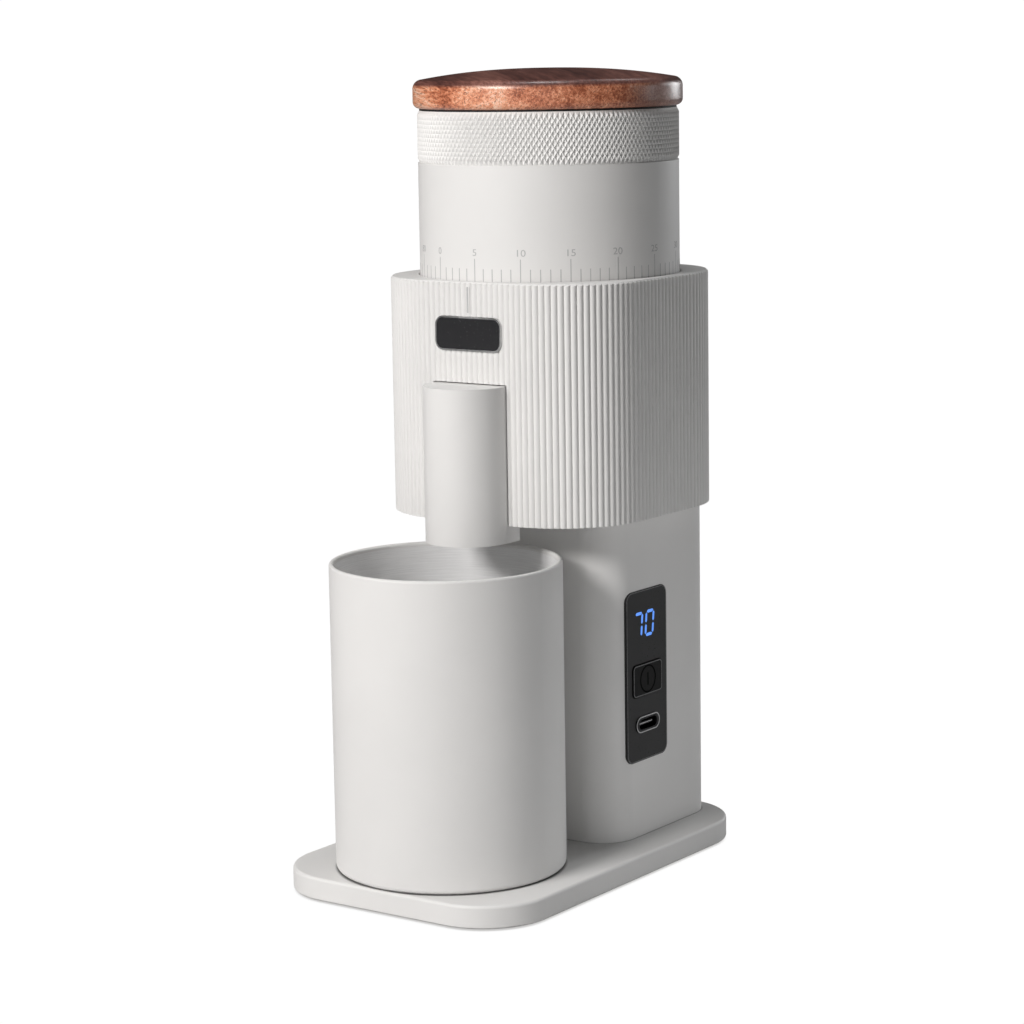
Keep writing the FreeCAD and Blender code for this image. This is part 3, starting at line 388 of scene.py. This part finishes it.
panel_black = plastic("panel_black", (0.026, 0.026, 0.027), (0.022, 0.022, 0.023),
                      rough=0.34, grain=2600, depth=0.004, shine=0.30)
button_black = plastic("button_black", (0.0075, 0.0075, 0.0078), (0.0060, 0.0060, 0.0063),
                       rough=0.48, grain=2200, depth=0.006, shine=0.14)
icon_black = plastic("icon_black", (0.0012, 0.0012, 0.0012), (0.0009, 0.0009, 0.0009),
                     rough=0.60, grain=1800, depth=0.004, shine=0.02)
badge_black = plastic("badge_black", (0.022, 0.022, 0.024), (0.016, 0.016, 0.018),
                      rough=0.20, grain=1800, depth=0.003)
# Painted highlight: the light grey of the panel's and button's edges where they catch the light
edge_highlight_grey = plastic("edge_highlight_grey", (0.150, 0.150, 0.153), (0.120, 0.120, 0.123),
                    rough=0.30, grain=2200, depth=0.003)
scale_grey = plastic("scale_grey", (0.500, 0.500, 0.500), (0.450, 0.450, 0.452),
                     rough=0.55, grain=2600, depth=0.004)
# Painted highlight on the port's rim, and the light colour of the tongue's contacts
port_highlight_and_contacts = plastic("port_highlight_and_contacts", (0.620, 0.620, 0.625), (0.540, 0.540, 0.545),
                      rough=0.25, grain=2200, depth=0.003)
rubber = plastic("rubber", (0.018, 0.018, 0.018), (0.012, 0.012, 0.012),
                 rough=0.75, grain=1300, depth=0.02)
black_plastic = plastic("black_plastic", (0.020, 0.020, 0.021), (0.014, 0.014, 0.015),
                        rough=0.48, grain=1400, depth=0.012)
smoke = plastic("hopper_smoke", (0.050, 0.050, 0.052), (0.036, 0.036, 0.038),
                rough=0.26, grain=1500, depth=0.006)
cast_alloy = plastic("cast_alloy", (0.36, 0.36, 0.36), (0.29, 0.29, 0.30),
                     rough=0.52, grain=900, depth=0.03)
board_green = plastic("board_green", (0.020, 0.110, 0.050), (0.012, 0.075, 0.034),
                      rough=0.38, grain=1700, depth=0.01)
cell_wrap = plastic("cell_wrap", (0.060, 0.150, 0.330), (0.045, 0.115, 0.270),
                    rough=0.34, grain=700, depth=0.008)
port_dark = metal("port_dark", (0.055, 0.055, 0.057), (0.040, 0.040, 0.042),
                  rough=0.38, lines=EVEN_LINES, depth=0.002)
chrome_trim = metal("chrome_trim", (0.80, 0.80, 0.80), (0.66, 0.66, 0.67),
                    rough=0.22, lines=EVEN_LINES, depth=0.002)
steel = metal("steel", (0.62, 0.62, 0.62), (0.50, 0.50, 0.51), rough=0.30)
burr_steel = metal("burr_steel", (0.50, 0.50, 0.51), (0.36, 0.36, 0.37),
                   rough=0.34, lines=(700, 700, 2600), depth=0.006)
motor_steel = metal("motor_steel", (0.56, 0.57, 0.58), (0.46, 0.46, 0.47),
                    rough=0.36, lines=(2400, 2400, 60))
gear_brass = metal("gear_brass", (0.72, 0.52, 0.24), (0.58, 0.40, 0.17), rough=0.32)
display_blue = lamp("display_blue", (0.12, 0.33, 1.0), strength=1.10)


# Dressing of the frame's nodes

dressed = (
    (base_painted_shade_coat, "base_plate"),
    (white_coat, "column_housing drum_shell drum_floor spout grind_dial pointer_mark"),
    (cup_white, "catch_cup"),
    (rubber, "foot_pad lid_seal shaft_seal"),
    (panel_black, "control_panel"),
    (button_black, "power_button"),
    (badge_black, "badge_plate"),
    (chrome_trim, "badge_rim"),
    (port_dark, "usb_c_shell"),
    (black_plastic, "usb_c_tongue button_switch display_module battery_holder"),
    (black_plastic, "dial_collar burr_carrier sweep_disc"),
    (smoke, "hopper"),
    (cast_alloy, "grinding_chamber"),
    (board_green, "control_board"),
    (cell_wrap, "battery_cells"),
    (motor_steel, "motor"),
    (gear_brass, "motor_pinion idler_gear output_gear"),
    (burr_steel, "inner_burr outer_burr"),
    (steel, "motor_shaft idler_pin drive_shaft lower_bearing upper_bearing burr_nut guide_pins"),
    (steel, "column_screws motor_screws chamber_screws shell_screws floor_screws collar_screws"),
)
for material, names in dressed:
    for name in names.split():
        mesh = nodes[name].data
        mesh.materials.clear()
        mesh.materials.append(material)


# Piece building

def in_scene(name, data):
    """A new object in the scene."""
    made = bpy.data.objects.new(name, data)
    scene.collection.objects.link(made)
    return made


def wall(low, high, count):
    """Faces between two rings of points, each given by the number of its first point."""
    return [(low + i, low + (i + 1) % count, high + (i + 1) % count, high + i) for i in range(count)]


class Shape:
    """Points and faces gathered from one or more closed forms."""

    def __init__(self):
        self.points = []
        self.faces = []

    def add(self, points, faces):
        start = len(self.points)
        self.points.extend(points)
        self.faces.extend(tuple(start + i for i in face) for face in faces)

    def slab(self, outline, place, bottom, top):
        """A slab from a flat outline that runs anticlockwise; place maps (u, v, height) into space."""
        count = len(outline)
        points = [place(u, v, height) for height in (bottom, top) for u, v in outline]
        ends = [tuple(range(count - 1, -1, -1)), tuple(range(count, 2 * count))]
        self.add(points, ends + wall(0, count, count))

    def band(self, outer, inner, place, bottom, top):
        """A flat ring between two outlines with the same number of points."""
        count = len(outer)
        points = [place(u, v, height)
                  for outline in (outer, inner) for height in (bottom, top) for u, v in outline]
        faces = []
        for low, high in ((0, 1), (1, 3), (3, 2), (2, 0)):
            faces += wall(low * count, high * count, count)
        self.add(points, faces)


def piece(name, shape, material, body, smooth=False):
    """A piece of the object, which moves with a body and takes its finish from a slot."""
    mesh = bpy.data.meshes.new(name)
    mesh.from_pydata([tuple(p) for p in shape.points], [], shape.faces)
    mesh.validate()
    mesh.materials.append(material)
    for polygon in mesh.polygons:
        polygon.use_smooth = smooth
    made = in_scene(name, mesh)
    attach(made, body)
    return made


def circle(radius, count):
    angles = [TURN * i / count for i in range(count)]
    return [(radius * math.cos(angle), radius * math.sin(angle)) for angle in angles]


def upright(width, low, high):
    """The outline of a rectangle, centred across."""
    half = width / 2
    return [(-half, low), (half, low), (half, high), (-half, high)]


def on_axis(radius, angle, z):
    """A point round the axis of drum, dial and lid, by its angle from the front."""
    return Vector((radius * math.sin(angle), axis_y - radius * math.cos(angle), z))


def radius_of(point):
    """How far a point is from that axis."""
    return math.hypot(point.x, point.y - axis_y)


def on_right(x, y=0.0, z=0.0):
    """Gives a place function for a face towards +X, with its origin at a point."""
    return lambda u, v, height: Vector((x + height, y + u, z + v))


# Knurled grip ring

KNURL_AROUND = 160
KNURL_ROWS = 12
KNURL_DEPTH = 0.55 * MM
KNURL_INSET = 0.10 * MM
ring_low, ring_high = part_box("grip_ring")
ring_inside = min(radius_of(v.co) for v in nodes["grip_ring"].data.vertices)
knurl_peak = (ring_high.x - ring_low.x) / 2 - KNURL_INSET


def knurled_ring():
    """Pyramids between crossing helical grooves, closed by flat ends and a plain bore."""
    columns = 2 * KNURL_AROUND
    angles = [TURN * column / columns for column in range(columns)]
    step = (ring_high.z - ring_low.z) / KNURL_ROWS
    valley = knurl_peak - KNURL_DEPTH
    points, faces = [], []
    for row in range(KNURL_ROWS + 1):
        at_end = row in (0, KNURL_ROWS)
        for column in range(columns):
            peak = (row + column) % 2 == 1 and not at_end
            radius = knurl_peak if peak else valley
            points.append(on_axis(radius, angles[column], ring_low.z + row * step))

    def spot(row, column):
        return row * columns + column % columns

    for row in range(KNURL_ROWS):
        for column in range(columns):
            a, b = spot(row, column), spot(row, column + 1)
            c, d = spot(row + 1, column + 1), spot(row + 1, column)
            if (row + column) % 2 == 0:
                faces += [(a, b, d), (b, c, d)]
            else:
                faces += [(a, b, c), (a, c, d)]

    bottom, top = spot(0, 0), spot(KNURL_ROWS, 0)
    bore_bottom, bore_top = spot(KNURL_ROWS + 1, 0), spot(KNURL_ROWS + 2, 0)
    for z in (ring_low.z, ring_high.z):
        points += [on_axis(ring_inside, angle, z) for angle in angles]
    for low, high in ((top, bore_top), (bore_top, bore_bottom), (bore_bottom, bottom)):
        faces += wall(low, high, columns)
    shape = Shape()
    shape.add(points, faces)
    return shape


grip = piece("knurled_grip", knurled_ring(), white_coat, "dial")
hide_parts("grip_ring")


# Turned wooden lid

SPIGOT_DROP = 4.6 * MM
LID_FOOT_ROUND = 1.7 * MM
LID_ROLL = 2.4 * MM
LID_SAG = 2.89 * MM
LID_FULLNESS = 2.29
LID_AROUND = 192
LID_STEPS = 12
SPIGOT_ROWS = 3
LEVEL_FIT = 0.01 * MM
lid_radius = (lid_high.x - lid_low.x) / 2
lid_foot = lid_low.z + SPIGOT_DROP
spigot_radius = max(radius_of(v.co) for v in nodes["lid"].data.vertices if v.co.z < lid_low.z + LEVEL_FIT)


def crown_sag(radius):
    """How far the crown has sunk at a radius."""
    return LID_SAG * (radius / lid_radius) ** LID_FULLNESS


def lid_profile():
    """Radius and height from the spigot's foot, round the rim and over the crown, short of the axis."""
    line = [(spigot_radius, lid_low.z), (spigot_radius, lid_foot)]
    foot_in = lid_radius - LID_FOOT_ROUND
    for i in range(LID_STEPS + 1):
        angle = TURN / 4 * i / LID_STEPS
        line.append((foot_in + LID_FOOT_ROUND * math.sin(angle),
                     lid_foot + LID_FOOT_ROUND * (1 - math.cos(angle))))
    roll_in = lid_radius - LID_ROLL
    tilt = math.atan(LID_FULLNESS * crown_sag(roll_in) / roll_in)
    crown_start = roll_in + LID_ROLL * math.sin(tilt)
    roll_z = lid_high.z - crown_sag(crown_start) - LID_ROLL * math.cos(tilt)
    for i in range(LID_STEPS + 1):
        angle = (TURN / 4 - tilt) * i / LID_STEPS
        line.append((roll_in + LID_ROLL * math.cos(angle), roll_z + LID_ROLL * math.sin(angle)))
    crown_steps = 2 * LID_STEPS
    for i in range(1, crown_steps):
        radius = crown_start * (1 - i / crown_steps)
        line.append((radius, lid_high.z - crown_sag(radius)))
    return line


def turned_lid():
    """The profile turned round the axis and closed at both ends. The faces of its spigot come first."""
    line = lid_profile()
    rings = [LID_AROUND * row for row in range(len(line))]
    points = [on_axis(radius, TURN * i / LID_AROUND, z) for radius, z in line for i in range(LID_AROUND)]
    foot, top = len(points), len(points) + 1
    points += [on_axis(0, 0, lid_low.z), on_axis(0, 0, lid_high.z)]
    faces = [(foot, (i + 1) % LID_AROUND, i) for i in range(LID_AROUND)]
    for low, high in zip(rings, rings[1:]):
        faces += wall(low, high, LID_AROUND)
    last = rings[-1]
    faces += [(last + i, last + (i + 1) % LID_AROUND, top) for i in range(LID_AROUND)]
    shape = Shape()
    shape.add(points, faces)
    return shape


wooden_lid = piece("wooden_lid", turned_lid(), lid_wood, "lid_body", smooth=True)
for polygon in wooden_lid.data.polygons[:SPIGOT_ROWS * LID_AROUND]:
    polygon.use_smooth = False
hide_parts("lid")


# Scale on the dial

DIVISIONS = 84
MAJOR_EVERY = 5
FIRST_ANGLE = math.radians(0.75)
TICK_RISE = 1.2 * MM
TICK_WIDTH = 0.22 * MM
TICK_LENGTH = 3.9 * MM
MAJOR_LENGTH = 6.4 * MM
LABEL_GAP = 0.7 * MM
LABEL_SIZE = 2.40 * MM
LABEL_STRETCH = 1.18
LABEL_THINNING = 0.006 * MM
LABEL_CURVE_STEPS = 5
INK_PROUD = 0.03 * MM
INK_DEPTH = 0.08 * MM
ink_middle = (INK_PROUD - INK_DEPTH) / 2
dial_low, dial_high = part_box("grind_dial")
dial_radius = (dial_high.x - dial_low.x) / 2
tick_angle = TURN / DIVISIONS
tick_foot = dial_low.z + TICK_RISE
label_foot = tick_foot + MAJOR_LENGTH + LABEL_GAP


def label_mesh(text):
    """A number as a thin closed mesh: its points, centred on the origin, and its faces."""
    curve = bpy.data.curves.new("label", "FONT")
    curve.body = text
    curve.size = LABEL_SIZE
    curve.align_x = "CENTER"
    curve.extrude = (INK_PROUD + INK_DEPTH) / 2
    curve.offset = -LABEL_THINNING
    curve.resolution_u = LABEL_CURVE_STEPS
    holder = in_scene("label", curve)
    bpy.context.view_layer.update()
    evaluated = holder.evaluated_get(bpy.context.evaluated_depsgraph_get())
    mesh = bpy.data.meshes.new_from_object(evaluated)
    points = [v.co.copy() for v in mesh.vertices]
    faces = [tuple(p.vertices) for p in mesh.polygons]
    bpy.data.objects.remove(holder)
    bpy.data.meshes.remove(mesh)
    bpy.data.curves.remove(curve)
    return points, faces


def on_dial(angle):
    """Gives a place function for the dial's wall, with its origin at an angle from the front."""
    return lambda u, v, height: on_axis(dial_radius + height, angle + u / dial_radius, v)


dial_scale = Shape()
for number in range(DIVISIONS):
    place = on_dial(FIRST_ANGLE + (number - MAJOR_EVERY) * tick_angle)
    major = number % MAJOR_EVERY == 0
    tick = upright(TICK_WIDTH, tick_foot, tick_foot + (MAJOR_LENGTH if major else TICK_LENGTH))
    dial_scale.slab(tick, place, -INK_DEPTH, INK_PROUD)
    if major:
        points, faces = label_mesh(str(number))
        points = [place(LABEL_STRETCH * p.x, label_foot + p.y, ink_middle + p.z) for p in points]
        dial_scale.add(points, faces)
piece("dial_scale", dial_scale, scale_grey, "dial")


# Line on the pointer

POINTER_LINE = 0.50 * MM
POINTER_SHIFT = -0.12 * MM
pointer_low, pointer_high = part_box("pointer_mark")
pointer_middle = (pointer_low.x + pointer_high.x) / 2 + POINTER_SHIFT


def on_pointer(u, v, height):
    return Vector((pointer_middle + u, pointer_low.y - height, v))


pointer_line = Shape()
pointer_line.slab(upright(POINTER_LINE, pointer_low.z, pointer_high.z), on_pointer, -INK_DEPTH, INK_PROUD)
piece("pointer_line", pointer_line, scale_grey, "frame")


# Lit figures on the display

FIGURE_PROUD = 0.03 * MM
FIGURE_DEPTH = 0.06 * MM
FIGURE_HEIGHT = 6.0 * MM
FIGURE_WIDTH = 3.35 * MM
FIGURE_BAR = 0.78 * MM
FIGURE_GAP = 0.20 * MM
FIGURE_SLANT = 0.10
FIGURE_DROP = 5.95 * MM
FIGURE_LEFTS = (3.52 * MM, 8.82 * MM)
FIGURE_BARS = ("abc", "abcdef")
BAR_ENDS = {
    "a": ((0, 1), (1, 1)),
    "b": ((1, 0.5), (1, 1)),
    "c": ((1, 0), (1, 0.5)),
    "d": ((0, 0), (1, 0)),
    "e": ((0, 0), (0, 0.5)),
    "f": ((0, 0.5), (0, 1)),
}
panel_low, panel_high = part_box("control_panel")
figure_foot = panel_high.z - FIGURE_DROP - FIGURE_HEIGHT


def figure_bar(letter):
    """A six-sided bar, pointed at its ends, in a figure that stands upright on the origin."""
    a, b = (Vector((u * FIGURE_WIDTH, v * FIGURE_HEIGHT)) for u, v in BAR_ENDS[letter])
    way = (b - a).normalized()
    side = Vector((-way.y, way.x)) * FIGURE_BAR / 2
    tip = way * FIGURE_BAR / 2
    a, b = a + way * FIGURE_GAP, b - way * FIGURE_GAP
    return [a, a + tip - side, b - tip - side, b, b - tip + side, a + tip + side]


figures = Shape()
for margin, letters in zip(FIGURE_LEFTS, FIGURE_BARS):
    left = panel_low.y + margin
    for letter in letters:
        outline = [(left + p.x + FIGURE_SLANT * p.y, figure_foot + p.y) for p in figure_bar(letter)]
        figures.slab(outline, on_right(panel_high.x), -FIGURE_DEPTH, FIGURE_PROUD)
piece("display_figures", figures, display_blue, "frame")


# Icon on the button

ICON_RADIUS = 3.45 * MM
ICON_STROKE = 0.42 * MM
ICON_BAR = 3.3 * MM
ICON_POINTS = 64
button_low, button_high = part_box("power_button")
button_middle = (button_low + button_high) / 2
on_button = on_right(button_high.x, button_middle.y, button_middle.z)

icon = Shape()
icon_outer = circle(ICON_RADIUS + ICON_STROKE / 2, ICON_POINTS)
icon_inner = circle(ICON_RADIUS - ICON_STROKE / 2, ICON_POINTS)
icon.band(icon_outer, icon_inner, on_button, -FIGURE_DEPTH, FIGURE_PROUD)
icon.slab(upright(ICON_STROKE, -ICON_BAR / 2, ICON_BAR / 2), on_button, -FIGURE_DEPTH, FIGURE_PROUD)
piece("button_icon", icon, icon_black, "button")


# Painted highlights along the edges of panel, button and port

EDGE_WIDTH = 0.26 * MM
EDGE_PROUD = 0.03 * MM
EDGE_DEPTH = 0.06 * MM
PANEL_INSET = 0.10 * MM
BUTTON_INSET = 0.12 * MM
PORT_INSET = 0.04 * MM
PANEL_CORNER = 2.5 * MM
BUTTON_CORNER = 1.2 * MM
BUTTON_FLANGE = Vector((0.45 * MM, 0.45 * MM))
LEAST_CORNER = 0.05 * MM
CORNER_POINTS = 12
port_low, port_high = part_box("usb_c_shell")


def rounded(low, high, radius, inset):
    """A rounded rectangle between two corners, drawn in by an inset, with as many points at any size."""
    r = max(radius - inset, LEAST_CORNER)
    line = []
    corners = ((high[0], high[1]), (low[0], high[1]), (low[0], low[1]), (high[0], low[1]))
    for quarter, (u, v) in enumerate(corners):
        centre_u = u - math.copysign(inset + r, u - (low[0] + high[0]) / 2)
        centre_v = v - math.copysign(inset + r, v - (low[1] + high[1]) / 2)
        for i in range(CORNER_POINTS + 1):
            angle = TURN / 4 * (quarter + i / CORNER_POINTS)
            line.append((centre_u + r * math.cos(angle), centre_v + r * math.sin(angle)))
    return line


def edge_line(name, low, high, face, radius, inset, material, body):
    """A thin line of painted highlight that follows the edge of a rounded rectangle on a face towards +X."""
    line = Shape()
    line.band(rounded(low, high, radius, inset), rounded(low, high, radius, inset + EDGE_WIDTH),
              on_right(face), -EDGE_DEPTH, EDGE_PROUD)
    piece(name, line, material, body)


edge_line("panel_edge_highlight", panel_low.yz, panel_high.yz, panel_high.x, PANEL_CORNER, PANEL_INSET,
          edge_highlight_grey, "frame")
edge_line("button_edge_highlight", button_low.yz + BUTTON_FLANGE, button_high.yz - BUTTON_FLANGE, button_high.x,
          BUTTON_CORNER, BUTTON_INSET, edge_highlight_grey, "button")
edge_line("port_edge_highlight", port_low.yz, port_high.yz, port_high.x, (port_high.z - port_low.z) / 2, PORT_INSET,
          port_highlight_and_contacts, "frame")


# Contacts in the port

CONTACTS_MARGIN = 0.25 * MM
CONTACTS_HEIGHT = 0.22 * MM
tongue_low, tongue_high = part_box("usb_c_tongue")
tongue_middle = (tongue_low + tongue_high) / 2
contacts_width = tongue_high.y - tongue_low.y - 2 * CONTACTS_MARGIN
contacts = Shape()
contacts.slab(upright(contacts_width, -CONTACTS_HEIGHT / 2, CONTACTS_HEIGHT / 2),
              on_right(tongue_high.x, tongue_middle.y, tongue_middle.z), -EDGE_DEPTH, EDGE_PROUD)
piece("tongue_contacts", contacts, port_highlight_and_contacts, "frame")


# Floor and surroundings

PAPER_GLOW = 1.02
PAPER_WHITE = (1.0, 1.0, 1.0, 1.0)
CARD_GREY = (0.58, 0.58, 0.58, 1.0)
AMBIENT_TINT = (0.96, 0.98, 1.0, 1.0)
AMBIENT_GLOW = 0.02
# The floor's painted contact shadow: how far it reaches, and its tones from the darkest line out to white
CONTACT_SHADOW_REACH = 4 * MM
CONTACT_SHADOW_TONES = (
    (0.00, (0.50, 0.49, 0.48)),
    (0.45, (0.95, 0.95, 0.95)),
    (0.70, (1.00, 1.00, 1.00)),
)
FLOOR_HALF = 30.0
# A hair under the foot pad, so that the two don't share a plane
FLOOR_Z = -0.02 * MM
FLOOR_CORNERS = ((-1, -1), (1, -1), (1, 1), (-1, 1))


def show(tree, output, seen, lit):
    """Ends a node tree with one shader for the camera and another for every other ray."""
    ray = tree.nodes.new("ShaderNodeLightPath")
    choice = tree.nodes.new("ShaderNodeMixShader")
    tree.links.new(ray.outputs["Is Camera Ray"], choice.inputs[0])
    tree.links.new(lit.outputs[0], choice.inputs[1])
    tree.links.new(seen.outputs[0], choice.inputs[2])
    tree.links.new(choice.outputs[0], tree.nodes[output].inputs["Surface"])


def floor_surface():
    """A white floor that shows the camera only a painted contact shadow, a dark line where something stands,
    and bounces like grey card.
    """
    s = Surface("floor_white")
    glow = s.add("ShaderNodeEmission")
    # Painted contact shadow, from how close the floor is to the parts that stand on it
    s.feed(glow.inputs["Color"], s.ramp(s.openness(CONTACT_SHADOW_REACH), CONTACT_SHADOW_TONES))
    glow.inputs["Strength"].default_value = PAPER_GLOW
    card = s.add("ShaderNodeBsdfDiffuse")
    card.inputs["Color"].default_value = CARD_GREY
    show(s.tree, "Material Output", seen=glow, lit=card)
    return s.material


floor_mesh = bpy.data.meshes.new("floor")
floor_mesh.from_pydata([(x * FLOOR_HALF, y * FLOOR_HALF, FLOOR_Z) for x, y in FLOOR_CORNERS],
                       [], [(0, 1, 2, 3)])
floor_mesh.materials.append(floor_surface())
floor = in_scene("floor", floor_mesh)

world = bpy.data.worlds.new("studio")
scene.world = world
world.use_nodes = True
sky = world.node_tree
ambient = sky.nodes["Background"]
ambient.inputs["Color"].default_value = AMBIENT_TINT
ambient.inputs["Strength"].default_value = AMBIENT_GLOW
backdrop = sky.nodes.new("ShaderNodeBackground")
backdrop.inputs["Color"].default_value = PAPER_WHITE
backdrop.inputs["Strength"].default_value = PAPER_GLOW
show(sky, "World Output", seen=backdrop, lit=ambient)


# Lights

AIM = Vector((0.0, 0.0, 0.11))
LOW_AIM = Vector((0.03, 0.02, 0.02))
LIGHT_DISTANCE = 1.15
WARM = (1.0, 0.98, 0.965)
COOL = (0.98, 0.99, 1.0)
WIDE = (0.46, 0.30)
BOX = (0.30, 0.30)
SMALL = (0.06, 0.06)
OPEN_BEAM = 180


def softbox(name, azimuth, elevation, power, size=BOX, colour=COOL, distance=LIGHT_DISTANCE, aim=AIM,
            beam=OPEN_BEAM):
    """An area light that looks at a point. Angles are in degrees, with azimuth from the front towards +X."""
    a, e = math.radians(azimuth), math.radians(elevation)
    way = Vector((math.sin(a) * math.cos(e), -math.cos(a) * math.cos(e), math.sin(e)))
    light = bpy.data.lights.new(name, "AREA")
    light.shape = "RECTANGLE"
    light.size, light.size_y = size
    light.energy = power
    light.color = colour
    light.spread = math.radians(beam)
    made = in_scene(name, light)
    made.location = aim + way * distance
    made.rotation_euler = (-way).to_track_quat("-Z", "Y").to_euler()


softbox("key", azimuth=-10, elevation=28, power=11.9, size=WIDE, colour=WARM)
softbox("face", azimuth=35, elevation=6, power=0.3)
softbox("side", azimuth=130, elevation=8, power=0.62)
softbox("low_side", azimuth=80, elevation=0, power=0.012, size=SMALL, distance=0.7, aim=LOW_AIM, beam=22)
softbox("rim", azimuth=172, elevation=10, power=2.2)
softbox("top", azimuth=0, elevation=88, power=3.0)
softbox("top_back", azimuth=180, elevation=55, power=0.8)


# Camera

CAMERA_PLACE = (0.42597, -0.59579, 0.21051)
CAMERA_RIGHT = Vector((0.81519, 0.57898, -0.01570))
CAMERA_UP = Vector((-0.08024, 0.13974, 0.98693))
LENS = 102.675
SENSOR = 36.0
CLIP_NEAR = 0.01
CLIP_FAR = 200.0
camera_data = bpy.data.cameras.new("camera")
camera_data.lens = LENS
camera_data.sensor_width = SENSOR
camera_data.clip_start = CLIP_NEAR
camera_data.clip_end = CLIP_FAR
camera = in_scene("camera", camera_data)
camera_back = CAMERA_RIGHT.cross(CAMERA_UP)
camera_turn = Matrix((CAMERA_RIGHT, CAMERA_UP, camera_back)).transposed()
camera.matrix_world = Matrix.Translation(CAMERA_PLACE) @ camera_turn.to_4x4()
scene.camera = camera

scene.view_settings.view_transform = "Standard"
scene.view_settings.look = "None"
